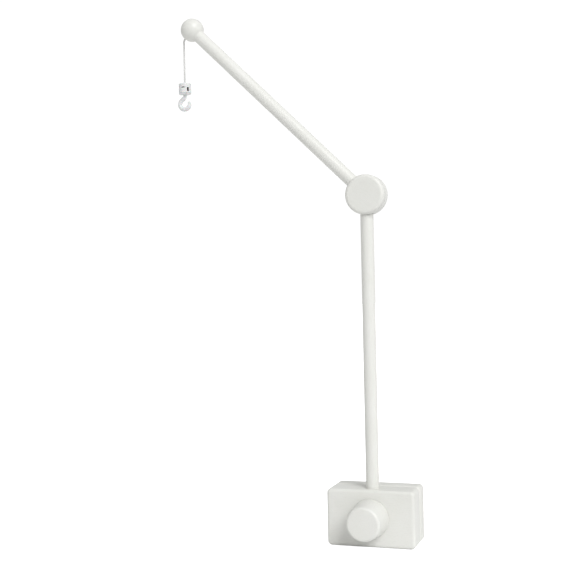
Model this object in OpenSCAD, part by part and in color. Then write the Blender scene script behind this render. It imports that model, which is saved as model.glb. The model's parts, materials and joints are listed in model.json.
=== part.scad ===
// Crib mobile holder: a painted wooden arm that clamps to the bars of a crib
// and hangs a turning hook over the bed. Millimetres, +Z up, +X to the right
// seen from the knob's side, origin on the floor under the middle of the clamp.

/* [Clamp] */
// Width of both clamp blocks
base_w = 122.5; // [112:0.5:140]
// Height of both clamp blocks
base_h = 78; // [74:1:90]
// Depth of the front block, which carries the post
front_d = 36.5; // [35:0.5:42]
// Depth of the back block, which is the moving jaw
back_d = 27; // [26:0.5:34]
// Space between the closed blocks
seam = 0.9; // [0.7:0.1:1.5]
// Radius of the blocks' edges
block_edge_r = 4.5; // [1.5:0.5:5]
// Radius of the blocks' corners, seen from the front
block_corner_r = 6; // [3:0.5:8]
// Furthest that the jaw opens
jaw_travel = 24; // [15:1:24]
// Height of the clamp bolt above the floor
bolt_z = 40; // [38:1:41]

/* [Knob] */
// Radius of the knob at the block
knob_r = 26.5; // [24:0.5:28]
// Radius that the knob's taper reaches at its front
knob_front_r = 22.9; // [20:0.1:24]
// Distance from the front block to the front of the knob
knob_reach = 40.5; // [40:0.5:46]
// Radius of the knob's front edge
knob_edge_r = 4; // [1:0.5:6]

/* [Post and arm] */
// Diameter of both dowels
dowel_d = 18; // [16:1:20]
// Distance from the front block's face to the post's axis
post_inset = 17.2; // [15:0.1:18]
// Depth of the post's socket in the front block
socket_depth = 30; // [20:1:31]
// Length of the post dowel
post_len = 420; // [300:5:500]
// Length of the arm dowel
arm_len = 340; // [250:5:400]
// Slope of the arm above level at rest
arm_slope = 44.5; // [35:0.5:55]
// Diameter of the ball at the end of the arm
ball_d = 33; // [30:1:38]

/* [Elbow] */
// Radius of the two elbow discs
disc_r = 27.4; // [26:0.1:32]
// Thickness of both discs and the gap between them
elbow_t = 29; // [28:0.5:34]
// Gap between the discs, which the friction washer fills
disc_gap = 0.8; // [0.6:0.1:1.2]
// Radius of the discs' outer edges
disc_edge_r = 5; // [2:0.5:6]

/* [Cord and swivel] */
// Diameter of the cord
cord_d = 2.5; // [2:0.1:3]
// Diameter of the swivel housing
swivel_d = 17.6; // [16:0.2:20]
// Height of the swivel housing with its cap
swivel_h = 15.5; // [15:0.1:18]
// Radius of the hook's eye at the middle of its wire
hook_r = 7.45; // [6.5:0.05:7.6]
// Diameter of the hook's wire
hook_wire_d = 6.1; // [4:0.1:6.2]

/* [Hidden] */
$fn = 96;

paint = [0.89, 0.89, 0.86];
plastic = [0.93, 0.93, 0.94];
steel = [0.72, 0.73, 0.75];
brass = [0.80, 0.65, 0.32];
felt = [0.70, 0.70, 0.68];
rubber = [0.12, 0.12, 0.12];
beech = [0.80, 0.66, 0.48];

// Fits between pieces
glue_gap = 0.05;        // radial gap of a glued or pressed piece
running_gap = 0.06;     // radial gap of a piece that turns or slides
moving_gap = 0.3;       // space between pieces that move past each other
sliding_gap = 0.1;      // space between flat faces that slide on each other
overcut = 1;            // how far a cutter runs past the face that it opens

// Where the clamp stands
base_d = front_d + seam + back_d;
front_y = -base_d / 2;
front_inner_y = front_y + front_d;
back_inner_y = front_inner_y + seam;
back_y = base_d / 2;

// Pads, let into the two inner faces
pad_w = 104;
pad_h = 60;
pad_recess = 1.3;
pad_proud = (seam - moving_gap) / 2;
pad_t = pad_recess + pad_proud;
pad_side_gap = 0.2;
pad_corner_r = 4;
pad_hole_r = 6.5;

// Clamp bolt, M8 by 90 with a domed head and a square neck
bolt_r = 4;
bolt_len = 90;
bolt_bore_r = 4.3;
bolt_head_r = 10;
bolt_head_t = 4;
bolt_neck = 8;
bolt_neck_len = 5;
bolt_bearing_y = back_y - 9;
bolt_tip_chamfer = 1;
head_bore_r = 11;
plug_t = 3.5;
plug_bevel = 0.5;

// Knob and its threaded insert
knob_gap = 0.4;
knob_back_y = front_y - knob_gap;
knob_len = knob_reach - knob_gap;
knob_back_bevel = 0.8;
knob_bore_depth = 36;
knob_bore_r = 4.6;
insert_r = 5.5;
insert_len = 12;
washer_r = 12;
washer_t = 1.6;

// Two guide pins that keep the jaw square
pin_r = 4;
pin_x = 16;
pin_z = 17;
pin_out = 33;
pin_in = 16;
pin_hole_depth = 34.5;

// Post and the screw that holds it
dowel_r = dowel_d / 2;
post_y = front_y + post_inset;
post_foot_z = base_h - socket_depth;
post_top_z = post_foot_z + post_len;
screw_z = 64;
screw_r = 2;
screw_head_r = 4;
screw_head_t = 2.4;
screw_len = 25;
screw_tip_len = 6;
screw_tip_r = 0.4;
screw_head_y = front_inner_y - pad_recess - sliding_gap;

// Elbow: the post stops lap_stop short of the pivot, and so does the arm
lap_stop = 11;
pivot_z = post_top_z + lap_stop;
disc_t = (elbow_t - disc_gap) / 2;
rim_clearance = 0.3;
rim_ease_r = 0.8;
stud_r = 3;
stud_wood_len = 10;
stud_wood_r = 3.4;
bush_r = 4.5;
bush_gap = running_gap;
nut_bore_r = 8;
nut_bore_depth = 10;
nut_af = 10;
nut_t = 5;
nut_collar_t = 1;
nut_collar_r = 4.6;
flat_washer_r = 6.5;
flat_washer_t = 1.2;
spring_washer_r = 6;
spring_washer_t = 1;
cap_t = 2.2;
friction_washer_r = 21;
friction_washer_hole_r = 5;

// Arm and ball, along the arm from the pivot
ball_r = ball_d / 2;
ball_socket_end = 4.5;
arm_reach = lap_stop + arm_len + ball_socket_end;
ball_x = -arm_reach * cos(arm_slope);
ball_z = pivot_z + arm_reach * sin(arm_slope);
cord_r = cord_d / 2;
cord_bore_r = 1.6;
knot_bore_r = 4;
knot_bore_depth = 6.5;
mouth_r = 3.6;
mouth_depth = 2;
stopper_r = 3.2;
stopper_centre = 2.56;
cord_break = 0.3;

// Hanging cord, as points [x, z] down its middle in the plane of the post
cord_route = [
    [-265.2, 716.3], [-266.1, 715.2], [-266.6, 714.1], [-267.0, 712.9],
    [-267.1, 711.7], [-267.1, 709], [-267.1, 703], [-267.1, 697], [-267.1, 691],
    [-267.1, 685], [-267.1, 679], [-267.1, 673], [-267.1, 667], [-267.1, 661],
    [-267.1, 655], [-267.1, 649.5]
];
cord_sides = 8;

// Swivel, hung on the cord: heights run down from the housing's top
swivel_x = -267.1;
swivel_top_z = 652.2;
swivel_r = swivel_d / 2;
swivel_wall = 2;
swivel_top_t = 2.4;
swivel_edge_r = 1;
swivel_cap_t = 1.7;
swivel_cap_edge_r = 1.2;
swivel_groove = 0.3;
spigot_t = 1.2;
cavity_r = swivel_r - swivel_wall;
cavity_h = swivel_h - swivel_top_t - swivel_cap_t;
window_w = 3.3;
window_top = 5.9;
window_h = 6;
window_turn = 54;
latch_w = 4.6;
latch_top = 5.1;
latch_h = 1.7;
latch_turn = 3;
bush_wall = 1.4;
bush_top = 3.8;
thrust_washer_t = 0.8;
shank_r = hook_wire_d / 2;
shank_head_r = 4.7;
shank_head_t = 2;
swivel_knot_r = 2.8;
swivel_knot_foot_r = 1.7;
swivel_knot_top_r = 2.2;
swivel_knot_t = 3.8;
knot_socket = 0.5;

// Hook: the wire leaves the shank to the left, runs round the eye and stops
// at the upper right, with a throat between its tip and the shank
hook_drop = 14.2;
hook_tip_angle = 13;
hook_boss = 0.3;
hook_side = 0.85;
hook_z = swivel_top_z - swivel_h - hook_drop;

// A rectangle with round corners, centred
module round_rect(w, h, r) {
    square([w - 2 * r, h], center = true);
    square([w, h - 2 * r], center = true);
    for (sx = [-1, 1], sy = [-1, 1])
        translate([sx * (w / 2 - r), sy * (h / 2 - r)]) circle(r);
}

// A block with all its edges rounded, centred, with wider corners across Y
module round_block(w, d, h, r, corner_r) {
    intersection() {
        translate([0, 0, -h / 2]) linear_extrude(h) round_rect(w, d, r);
        rotate([90, 0, 0]) translate([0, 0, -d / 2]) linear_extrude(d) round_rect(w, h, corner_r);
        rotate([90, 0, 90]) translate([0, 0, -w / 2]) linear_extrude(w) round_rect(d, h, r);
    }
}

// A cylinder along +Y from y0 to y1, centred on x, z
module rod_y(x, z, y0, y1, r) {
    translate([x, y0, z]) rotate([-90, 0, 0]) cylinder(h = y1 - y0, r = r);
}

// A ring along +Y from y0 to y1 at the pivot
module ring_y(z, y0, y1, r, hole_r) {
    difference() {
        rod_y(0, z, y0, y1, r);
        rod_y(0, z, y0 - overcut, y1 + overcut, hole_r);
    }
}

// The three holes that cross the seam: one for the bolt and two for the pins
module seam_holes(y0, y1, bolt_hole_r, pin_hole_r) {
    rod_y(0, bolt_z, y0, y1, bolt_hole_r);
    for (side = [-1, 1]) rod_y(side * pin_x, pin_z, y0, y1, pin_hole_r);
}

// A shallow round-cornered recess or pad on a plane across Y
module pad_shape(y0, t, w, h, r) {
    translate([0, y0 + t, base_h / 2]) rotate([90, 0, 0]) linear_extrude(t) round_rect(w, h, r);
}

module front_block() {
    color(paint) difference() {
        translate([0, front_y + front_d / 2, base_h / 2])
            round_block(base_w, front_d, base_h, block_edge_r, block_corner_r);
        translate([0, post_y, post_foot_z]) cylinder(h = socket_depth + overcut, r = dowel_r + glue_gap);
        rod_y(0, bolt_z, front_y - overcut, front_inner_y + overcut, bolt_bore_r);
        for (side = [-1, 1])
            rod_y(side * pin_x, pin_z, front_inner_y - pin_hole_depth, front_inner_y + overcut,
                pin_r + running_gap);
        pad_shape(front_inner_y - pad_recess, pad_recess + overcut, pad_w, pad_h, pad_corner_r);
        post_screw_shape(glue_gap);
        rod_y(0, screw_z, screw_head_y - glue_gap, front_inner_y, screw_head_r + glue_gap);
    }
}

// The screw that runs from the inner face into the post, grown by a gap
module post_screw_shape(gap) {
    translate([0, screw_head_y, screw_z]) rotate([90, 0, 0]) {
        cylinder(h = screw_head_t, r1 = screw_head_r + gap, r2 = screw_r + gap);
        cylinder(h = screw_len - screw_tip_len, r = screw_r + gap);
        translate([0, 0, screw_len - screw_tip_len])
            cylinder(h = screw_tip_len, r1 = screw_r + gap, r2 = screw_tip_r + gap);
    }
}

module post_screw() {
    color(steel) post_screw_shape(0);
}

module front_pad() {
    color(felt) difference() {
        pad_shape(front_inner_y - pad_recess, pad_t, pad_w - 2 * pad_side_gap,
            pad_h - 2 * pad_side_gap, pad_corner_r - pad_side_gap);
        seam_holes(front_inner_y - pad_recess - overcut, front_inner_y + overcut,
            pad_hole_r, pad_hole_r);
    }
}

module back_pad() {
    color(felt) difference() {
        pad_shape(back_inner_y - pad_proud, pad_t, pad_w - 2 * pad_side_gap,
            pad_h - 2 * pad_side_gap, pad_corner_r - pad_side_gap);
        seam_holes(back_inner_y - overcut, back_inner_y + pad_recess + overcut,
            pad_hole_r, pad_hole_r);
    }
}

module back_block() {
    color(paint) difference() {
        translate([0, back_y - back_d / 2, base_h / 2])
            round_block(base_w, back_d, base_h, block_edge_r, block_corner_r);
        rod_y(0, bolt_z, back_inner_y - overcut, back_y, bolt_r + glue_gap);
        translate([-bolt_neck / 2 - glue_gap, bolt_bearing_y - bolt_neck_len - glue_gap,
            bolt_z - bolt_neck / 2 - glue_gap])
            cube([bolt_neck + 2 * glue_gap, bolt_neck_len + 2 * glue_gap, bolt_neck + 2 * glue_gap]);
        rod_y(0, bolt_z, bolt_bearing_y, back_y + overcut, head_bore_r);
        for (side = [-1, 1])
            rod_y(side * pin_x, pin_z, back_inner_y - overcut, back_inner_y + pin_in, pin_r + glue_gap);
        pad_shape(back_inner_y - overcut, pad_recess + overcut, pad_w, pad_h, pad_corner_r);
    }
}

module clamp_bolt() {
    dome_r = (bolt_head_r * bolt_head_r + bolt_head_t * bolt_head_t) / (2 * bolt_head_t);
    color(steel) {
        rod_y(0, bolt_z, bolt_bearing_y - bolt_len + bolt_tip_chamfer, bolt_bearing_y, bolt_r);
        translate([0, bolt_bearing_y - bolt_len + bolt_tip_chamfer, bolt_z]) rotate([90, 0, 0])
            cylinder(h = bolt_tip_chamfer, r1 = bolt_r, r2 = bolt_r - bolt_tip_chamfer);
        translate([-bolt_neck / 2, bolt_bearing_y - bolt_neck_len, bolt_z - bolt_neck / 2])
            cube([bolt_neck, bolt_neck_len, bolt_neck]);
        intersection() {
            rod_y(0, bolt_z, bolt_bearing_y, bolt_bearing_y + bolt_head_t, bolt_head_r);
            translate([0, bolt_bearing_y + bolt_head_t - dome_r, bolt_z]) sphere(dome_r);
        }
    }
}

module bolt_plug() {
    color(paint) translate([0, back_y - plug_t, bolt_z]) rotate([-90, 0, 0]) {
        cylinder(h = plug_t - plug_bevel, r = head_bore_r - glue_gap);
        translate([0, 0, plug_t - plug_bevel])
            cylinder(h = plug_bevel, r1 = head_bore_r - glue_gap, r2 = head_bore_r - plug_bevel);
    }
}

module guide_pins() {
    color(beech) for (side = [-1, 1])
        rod_y(side * pin_x, pin_z, front_inner_y - pin_out, back_inner_y + pin_in - glue_gap, pin_r);
}

// Half of the knob's section: a taper with a rolled front edge
module knob_section() {
    taper = (knob_r - knob_front_r) / knob_len;
    slope = atan(taper);
    edge_x = knob_r - taper * (knob_len - knob_edge_r) - knob_edge_r / cos(slope);
    edge_y = knob_len - knob_edge_r;
    polygon([
        [0, 0], [knob_r - knob_back_bevel, 0], [knob_r - taper * knob_back_bevel, knob_back_bevel],
        [edge_x + knob_edge_r * cos(slope), edge_y + knob_edge_r * sin(slope)],
        [edge_x, edge_y], [edge_x, knob_len], [0, knob_len]
    ]);
    translate([edge_x, edge_y]) circle(knob_edge_r);
}

module clamp_knob() {
    color(paint) translate([0, knob_back_y, bolt_z]) rotate([90, 0, 0]) difference() {
        rotate_extrude() knob_section();
        translate([0, 0, -overcut]) cylinder(h = knob_bore_depth + overcut, r = knob_bore_r);
        translate([0, 0, -overcut]) cylinder(h = insert_len + washer_t + overcut, r = insert_r + glue_gap);
        translate([0, 0, -overcut]) cylinder(h = washer_t + overcut - knob_gap, r = washer_r + moving_gap);
    }
}

module knob_insert() {
    color(brass) ring_y(bolt_z, knob_back_y - washer_t - insert_len, knob_back_y - washer_t,
        insert_r, bolt_r + running_gap);
}

module knob_washer() {
    color(steel) ring_y(bolt_z, front_y - washer_t + sliding_gap, front_y, washer_r, bolt_bore_r);
}

module post() {
    color(paint) difference() {
        translate([0, post_y, post_foot_z + glue_gap]) cylinder(h = post_len - glue_gap, r = dowel_r);
        rod_y(0, pivot_z, post_y - elbow_t, post_y + disc_gap / 2, disc_r + rim_clearance);
        post_screw_shape(glue_gap);
    }
}

// Half of a disc's section: from its parting face up to its rolled outer edge
module disc_section() {
    square([disc_r - disc_edge_r, disc_t]);
    square([disc_r - rim_ease_r, disc_t - disc_edge_r]);
    translate([0, rim_ease_r]) square([disc_r, disc_t - disc_edge_r - rim_ease_r]);
    translate([disc_r - rim_ease_r, rim_ease_r]) circle(rim_ease_r);
    translate([disc_r - disc_edge_r, disc_t - disc_edge_r]) circle(disc_edge_r);
}

module rear_disc() {
    face_y = post_y + disc_gap / 2;
    color(paint) difference() {
        translate([0, face_y, pivot_z]) rotate([-90, 0, 0]) rotate_extrude() disc_section();
        translate([0, post_y, pivot_z - lap_stop - 2 * disc_r])
            cylinder(h = 2 * disc_r, r = dowel_r + glue_gap);
        rod_y(0, pivot_z, face_y - overcut, face_y + disc_t, bush_r + glue_gap);
        rod_y(0, pivot_z, face_y + disc_t - nut_bore_depth, face_y + disc_t + overcut, nut_bore_r);
    }
}

module friction_washer() {
    color(rubber) ring_y(pivot_z, post_y - disc_gap / 2 + sliding_gap, post_y + disc_gap / 2,
        friction_washer_r, friction_washer_hole_r);
}

module pivot_bush() {
    face_y = post_y + disc_gap / 2;
    color(brass) ring_y(pivot_z, face_y, face_y + disc_t - nut_bore_depth, bush_r, stud_r + bush_gap);
}

module pivot_washer() {
    floor_y = post_y + disc_gap / 2 + disc_t - nut_bore_depth;
    color(steel) ring_y(pivot_z, floor_y, floor_y + flat_washer_t, flat_washer_r, stud_r + moving_gap);
}

module spring_washer() {
    floor_y = post_y + disc_gap / 2 + disc_t - nut_bore_depth + flat_washer_t + sliding_gap;
    color(steel) ring_y(pivot_z, floor_y, floor_y + spring_washer_t, spring_washer_r, stud_r + glue_gap);
}

module pivot_nut() {
    nut_y = post_y + disc_gap / 2 + disc_t - nut_bore_depth + flat_washer_t + sliding_gap + spring_washer_t;
    corner_r = nut_af / 2 / cos(30);
    color(steel) difference() {
        union() {
            translate([0, nut_y, pivot_z]) rotate([-90, 0, 0])
                cylinder(h = nut_t - nut_collar_t, r = corner_r, $fn = 6);
            rod_y(0, pivot_z, nut_y, nut_y + nut_t, nut_collar_r);
        }
        rod_y(0, pivot_z, nut_y - overcut, nut_y + nut_t + overcut, stud_r + glue_gap);
    }
}

module pivot_cap() {
    back = post_y + disc_gap / 2 + disc_t;
    color(paint) rod_y(0, pivot_z, back - cap_t, back - sliding_gap, nut_bore_r - glue_gap);
}

module pivot_stud() {
    face_y = post_y - disc_gap / 2;
    stud_end_y = post_y + disc_gap / 2 + disc_t - cap_t - 2 * moving_gap;
    color(steel) {
        rod_y(0, pivot_z, face_y - stud_wood_len, face_y, stud_wood_r);
        rod_y(0, pivot_z, face_y - overcut, stud_end_y, stud_r);
    }
}

module front_disc() {
    face_y = post_y - disc_gap / 2;
    color(paint) difference() {
        translate([0, face_y, pivot_z]) rotate([90, 0, 0]) rotate_extrude() disc_section();
        along_arm() translate([0, 0, lap_stop]) cylinder(h = 2 * disc_r, r = dowel_r + glue_gap);
        rod_y(0, pivot_z, face_y - stud_wood_len - glue_gap, face_y + overcut, stud_wood_r + glue_gap);
    }
}

// Turns +Z to run from the pivot along the arm, and +X to point up and right
module along_arm() {
    translate([0, post_y, pivot_z]) rotate([0, arm_slope - 90, 0]) children();
}

module arm() {
    color(paint) difference() {
        along_arm() translate([0, 0, lap_stop + glue_gap]) cylinder(h = arm_len - glue_gap, r = dowel_r);
        rod_y(0, pivot_z, post_y - disc_gap / 2, post_y + elbow_t, disc_r + rim_clearance);
    }
}

module end_ball() {
    color(paint) along_arm() translate([0, 0, arm_reach]) difference() {
        sphere(ball_r);
        translate([0, 0, -ball_d]) cylinder(h = ball_d - ball_socket_end, r = dowel_r + glue_gap);
        translate([-ball_d, 0, 0]) rotate([0, 90, 0]) cylinder(h = 2 * ball_d, r = cord_bore_r);
        translate([ball_r - knot_bore_depth, 0, 0]) rotate([0, 90, 0])
            cylinder(h = ball_r, r = knot_bore_r);
        translate([-ball_r - overcut, 0, 0]) rotate([0, 90, 0])
            cylinder(h = mouth_depth + overcut, r1 = mouth_r + overcut, r2 = cord_bore_r);
    }
}

// The knot in the ball's upper hole, with the cord's run through the ball
module stopper_knot() {
    knot_x = ball_r - knot_bore_depth + stopper_centre;
    color(plastic) along_arm() translate([0, 0, arm_reach]) {
        intersection() {
            translate([knot_x, 0, 0]) sphere(stopper_r);
            translate([ball_r - knot_bore_depth, -ball_r, -ball_r]) cube(2 * ball_r);
        }
        translate([-ball_r + cord_break, 0, 0]) rotate([0, 90, 0])
            cylinder(h = ball_r + knot_x - cord_break, r = cord_r);
    }
}

// Direction of the cord's route at point i
function route_step(i) =
    cord_route[min(i + 1, len(cord_route) - 1)] - cord_route[max(i - 1, 0)];
function route_ring(i, r) =
    let (step = route_step(i), across = [-step[1], step[0]] / norm(step))
    [for (k = [0 : cord_sides - 1])
        let (a = 360 * k / cord_sides, s = r * cos(a))
        [cord_route[i][0] + s * across[0], post_y + r * sin(a), cord_route[i][1] + s * across[1]]];
function route_tube(r) = [for (i = [0 : len(cord_route) - 1]) each route_ring(i, r)];
function route_faces() =
    let (n = cord_sides, last = len(cord_route) - 1)
    concat(
        [[for (k = [0 : n - 1]) k]],
        [for (i = [0 : last - 1], k = [0 : n - 1])
            [i * n + k, (i + 1) * n + k, (i + 1) * n + (k + 1) % n, i * n + (k + 1) % n]],
        [[for (k = [0 : n - 1]) last * n + n - 1 - k]]
    );

module cord() {
    color(plastic) polyhedron(points = route_tube(cord_r), faces = route_faces());
}

// Puts the swivel's own frame, z down from its top, where it hangs
module at_swivel(down) {
    translate([swivel_x, post_y, swivel_top_z - down]) children();
}

module swivel_knot() {
    color(plastic) at_swivel(swivel_top_t + swivel_knot_t) difference() {
        union() {
            cylinder(h = swivel_knot_t - swivel_knot_r / 2, r1 = swivel_knot_foot_r, r2 = swivel_knot_r);
            translate([0, 0, swivel_knot_t - swivel_knot_r / 2])
                cylinder(h = swivel_knot_r / 2, r1 = swivel_knot_r, r2 = swivel_knot_top_r);
        }
        translate([0, 0, swivel_knot_t - knot_socket]) cylinder(h = overcut, r = cord_r + glue_gap);
    }
}

// A window through the housing's wall, turned from straight ahead
module wall_window(turn, top, w, h) {
    at_swivel(top + h) rotate([0, 0, turn]) translate([-w / 2, -swivel_r - overcut, 0])
        cube([w, swivel_wall + 2 * overcut, h]);
}

module swivel_housing() {
    shell_h = swivel_h - swivel_cap_t;
    color(plastic) difference() {
        at_swivel(shell_h) rotate_extrude() {
            square([swivel_r, shell_h - swivel_edge_r]);
            square([swivel_r - swivel_edge_r, shell_h]);
            translate([swivel_r - swivel_edge_r, shell_h - swivel_edge_r]) circle(swivel_edge_r);
        }
        at_swivel(shell_h + overcut) cylinder(h = cavity_h + overcut, r = cavity_r);
        at_swivel(shell_h) cylinder(h = swivel_h, r = cord_bore_r);
        wall_window(window_turn, window_top, window_w, window_h);
        wall_window(latch_turn, latch_top, latch_w, latch_h);
    }
}

module swivel_bush() {
    bottom = swivel_h - swivel_cap_t - spigot_t;
    color(rubber) at_swivel(bottom) difference() {
        cylinder(h = bottom - bush_top, r = cavity_r - glue_gap);
        translate([0, 0, -overcut]) cylinder(h = bottom + overcut, r = cavity_r - bush_wall);
    }
}

module swivel_cap() {
    flange_t = swivel_cap_t - swivel_groove;
    color(plastic) at_swivel(swivel_h) difference() {
        union() {
            rotate_extrude() intersection() {
                union() {
                    translate([0, swivel_cap_edge_r]) square([swivel_r, flange_t]);
                    square([swivel_r - swivel_cap_edge_r, flange_t]);
                    translate([swivel_r - swivel_cap_edge_r, swivel_cap_edge_r]) circle(swivel_cap_edge_r);
                }
                square([swivel_r, flange_t]);
            }
            cylinder(h = swivel_cap_t + spigot_t, r = cavity_r - glue_gap);
        }
        translate([0, 0, -overcut])
            cylinder(h = swivel_cap_t + spigot_t + 2 * overcut, r = shank_r + running_gap);
    }
}

module swivel_washer() {
    bottom = swivel_h - swivel_cap_t - spigot_t;
    color(steel) at_swivel(bottom) difference() {
        cylinder(h = thrust_washer_t, r = shank_head_r);
        translate([0, 0, -overcut]) cylinder(h = thrust_washer_t + 2 * overcut, r = shank_r + running_gap);
    }
}

// The shank comes down to the top of the eye, which hangs a little to its left,
// and a small boss joins the two
module hook() {
    head_z = hook_drop + swivel_cap_t + spigot_t + thrust_washer_t + sliding_gap;
    color(plastic) translate([swivel_x, post_y, hook_z]) {
        translate([-hook_side, 0, 0]) {
            rotate([90, 0, 0]) rotate([0, 0, 90]) rotate_extrude(angle = 270 + hook_tip_angle)
                translate([hook_r, 0]) circle(shank_r);
            rotate([0, -hook_tip_angle, 0]) translate([hook_r, 0, 0]) sphere(shank_r);
        }
        translate([0, 0, hook_r]) sphere(shank_r + hook_boss);
        translate([0, 0, hook_r]) cylinder(h = head_z + shank_head_t / 2 - hook_r, r = shank_r);
        translate([0, 0, head_z]) cylinder(h = shank_head_t, r = shank_head_r);
    }
}

front_block();
front_pad();
post();
post_screw();
rear_disc();
friction_washer();
pivot_bush();
pivot_washer();
pivot_cap();
knob_washer();
clamp_knob();
knob_insert();
back_block();
back_pad();
clamp_bolt();
bolt_plug();
guide_pins();
front_disc();
pivot_stud();
spring_washer();
pivot_nut();
arm();
end_ball();
stopper_knot();
cord();
swivel_knot();
swivel_housing();
swivel_bush();
swivel_washer();
swivel_cap();
hook();
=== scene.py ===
# %% [markdown]
# # A crib mobile holder, dressed in Blender
#
# The holder is painted wood: two blocks clamp to the bars of a crib, a post rises from the
# front block, a split disc joins it to a sloping arm, and a cord hangs a turning hook from a
# ball at the arm's end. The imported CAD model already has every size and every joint. This
# script gives each piece the surface, the eased edges and the small detail of the real one.
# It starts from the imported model, because every place below is worked out from it.

# %% The frame
import json
import math

import bmesh
import bpy
from mathutils import Matrix, Vector

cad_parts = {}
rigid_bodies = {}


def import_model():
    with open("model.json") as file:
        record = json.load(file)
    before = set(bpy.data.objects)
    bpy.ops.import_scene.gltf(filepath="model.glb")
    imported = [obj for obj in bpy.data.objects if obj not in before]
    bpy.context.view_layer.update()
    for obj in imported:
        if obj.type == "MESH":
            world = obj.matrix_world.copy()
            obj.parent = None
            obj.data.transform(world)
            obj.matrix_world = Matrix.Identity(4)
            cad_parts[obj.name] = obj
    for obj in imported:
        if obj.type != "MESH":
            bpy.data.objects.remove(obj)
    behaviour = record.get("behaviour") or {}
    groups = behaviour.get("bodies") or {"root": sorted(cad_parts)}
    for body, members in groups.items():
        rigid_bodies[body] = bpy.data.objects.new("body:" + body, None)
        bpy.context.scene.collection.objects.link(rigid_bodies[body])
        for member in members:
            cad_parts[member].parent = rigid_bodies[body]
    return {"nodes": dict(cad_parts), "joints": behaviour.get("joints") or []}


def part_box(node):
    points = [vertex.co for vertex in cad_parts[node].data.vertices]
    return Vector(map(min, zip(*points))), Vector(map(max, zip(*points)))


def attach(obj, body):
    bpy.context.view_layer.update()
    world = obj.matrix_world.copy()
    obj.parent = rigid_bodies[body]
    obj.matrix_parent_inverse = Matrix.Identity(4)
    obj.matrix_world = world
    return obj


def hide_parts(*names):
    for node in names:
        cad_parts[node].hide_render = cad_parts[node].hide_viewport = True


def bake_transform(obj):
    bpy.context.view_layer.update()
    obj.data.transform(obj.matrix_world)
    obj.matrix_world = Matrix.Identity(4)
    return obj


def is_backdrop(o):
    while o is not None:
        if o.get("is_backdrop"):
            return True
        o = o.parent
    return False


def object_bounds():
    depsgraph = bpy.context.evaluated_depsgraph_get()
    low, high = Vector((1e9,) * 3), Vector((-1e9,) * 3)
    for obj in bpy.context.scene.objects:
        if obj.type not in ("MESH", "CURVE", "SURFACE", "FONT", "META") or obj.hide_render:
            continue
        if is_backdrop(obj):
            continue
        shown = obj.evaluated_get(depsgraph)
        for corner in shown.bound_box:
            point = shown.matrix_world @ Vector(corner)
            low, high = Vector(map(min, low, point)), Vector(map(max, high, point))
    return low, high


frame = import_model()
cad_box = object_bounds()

MM = 0.001
UPRIGHT, ACROSS, INWARD = Vector((0, 0, 1)), Vector((1, 0, 0)), Vector((0, 1, 0))

# %% [markdown]
# ## Measures taken from the frame
#
# A maker measures the parts on the bench before making the next one. Here the boxes of the
# CAD nodes give the radius of the dowels, the centre of the elbow, the centre of the ball and
# so the slope of the arm. Nothing is typed in twice, so a changed CAD model carries through.

# %% Measures
def middle(node):
    low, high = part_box(node)
    return (low + high) / 2


def size(node):
    low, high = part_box(node)
    return high - low


joint_at = {j["name"]: Vector(j["pos_m"]) for j in frame["joints"] if "pos_m" in j}
pivot = joint_at["arm_tilt"]
ball_centre = middle("end_ball")
ball_radius = size("end_ball").y / 2
arm_way = (ball_centre - pivot).normalized()
arm_reach = (ball_centre - pivot).length
dowel_radius = size("post").y / 2
disc_radius = size("front_disc").x / 2
bolt_line = joint_at["knob_turn"]
print("arm slope", round(math.degrees(math.atan2(arm_way.z, -arm_way.x)), 1), "degrees")

# %% [markdown]
# ## Camera
#
# The holder is seen from a little to its right, with a longish lens, level with the middle of
# the post. The place and the turn were solved from the known sizes of the blocks, the dowels
# and the ball, so the view follows from the object and not the other way round. The matrix is
# built from yaw, pitch and roll, which are easier to read than Euler angles.

# %% Camera
CAMERA_PLACE = Vector((363.4, -1407.7, 364.6)) * MM
CAMERA_YAW, CAMERA_PITCH, CAMERA_ROLL = (math.radians(a) for a in (18.898, -0.525, -1.262))
LENS_MM, SENSOR_MM = 65.1724, 36.0


def add_camera():
    data = bpy.data.cameras.new("camera")
    data.sensor_width, data.lens = SENSOR_MM, LENS_MM
    camera = bpy.data.objects.new("camera", data)
    bpy.context.scene.collection.objects.link(camera)
    yaw, pitch, roll = CAMERA_YAW, CAMERA_PITCH, CAMERA_ROLL
    level = Vector((math.cos(yaw), math.sin(yaw), 0))
    ahead = Vector((-math.sin(yaw) * math.cos(pitch), math.cos(yaw) * math.cos(pitch), math.sin(pitch)))
    above = level.cross(ahead)
    right = math.cos(roll) * level + math.sin(roll) * above
    up = math.cos(roll) * above - math.sin(roll) * level
    turn = Matrix((right, up, -ahead)).transposed().to_4x4()
    camera.matrix_world = Matrix.Translation(CAMERA_PLACE) @ turn
    bpy.context.scene.camera = camera
    return camera


camera = add_camera()
print("lens", round(camera.data.lens, 1), "mm")

# %% [markdown]
# ## Helpers for shapes
#
# Nearly all of the holder was made on a lathe or on a saw. A lathe turns an outline about an
# axis, so one function spins a list of (radius, height) points. Rounded edges are arcs in
# that outline. What was sawn starts as a box with bevelled edges. Holes are cut as they would
# be with a drill, by a Boolean with a turned cutter. Every mesh is put in place in its own
# vertices, so that its object stays at the origin and a pattern in object coordinates can't
# slide when the piece moves.

# %% Outlines and meshes
TURNS, RIM_SEGMENTS = 144, 9


def arc(x, y, radius, start, end, steps=8):
    """Points of an arc about (x, y), from one angle in degrees to another."""
    angles = [math.radians(start + (end - start) * i / steps) for i in range(steps + 1)]
    return [(x + radius * math.cos(a), y + radius * math.sin(a)) for a in angles]


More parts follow.
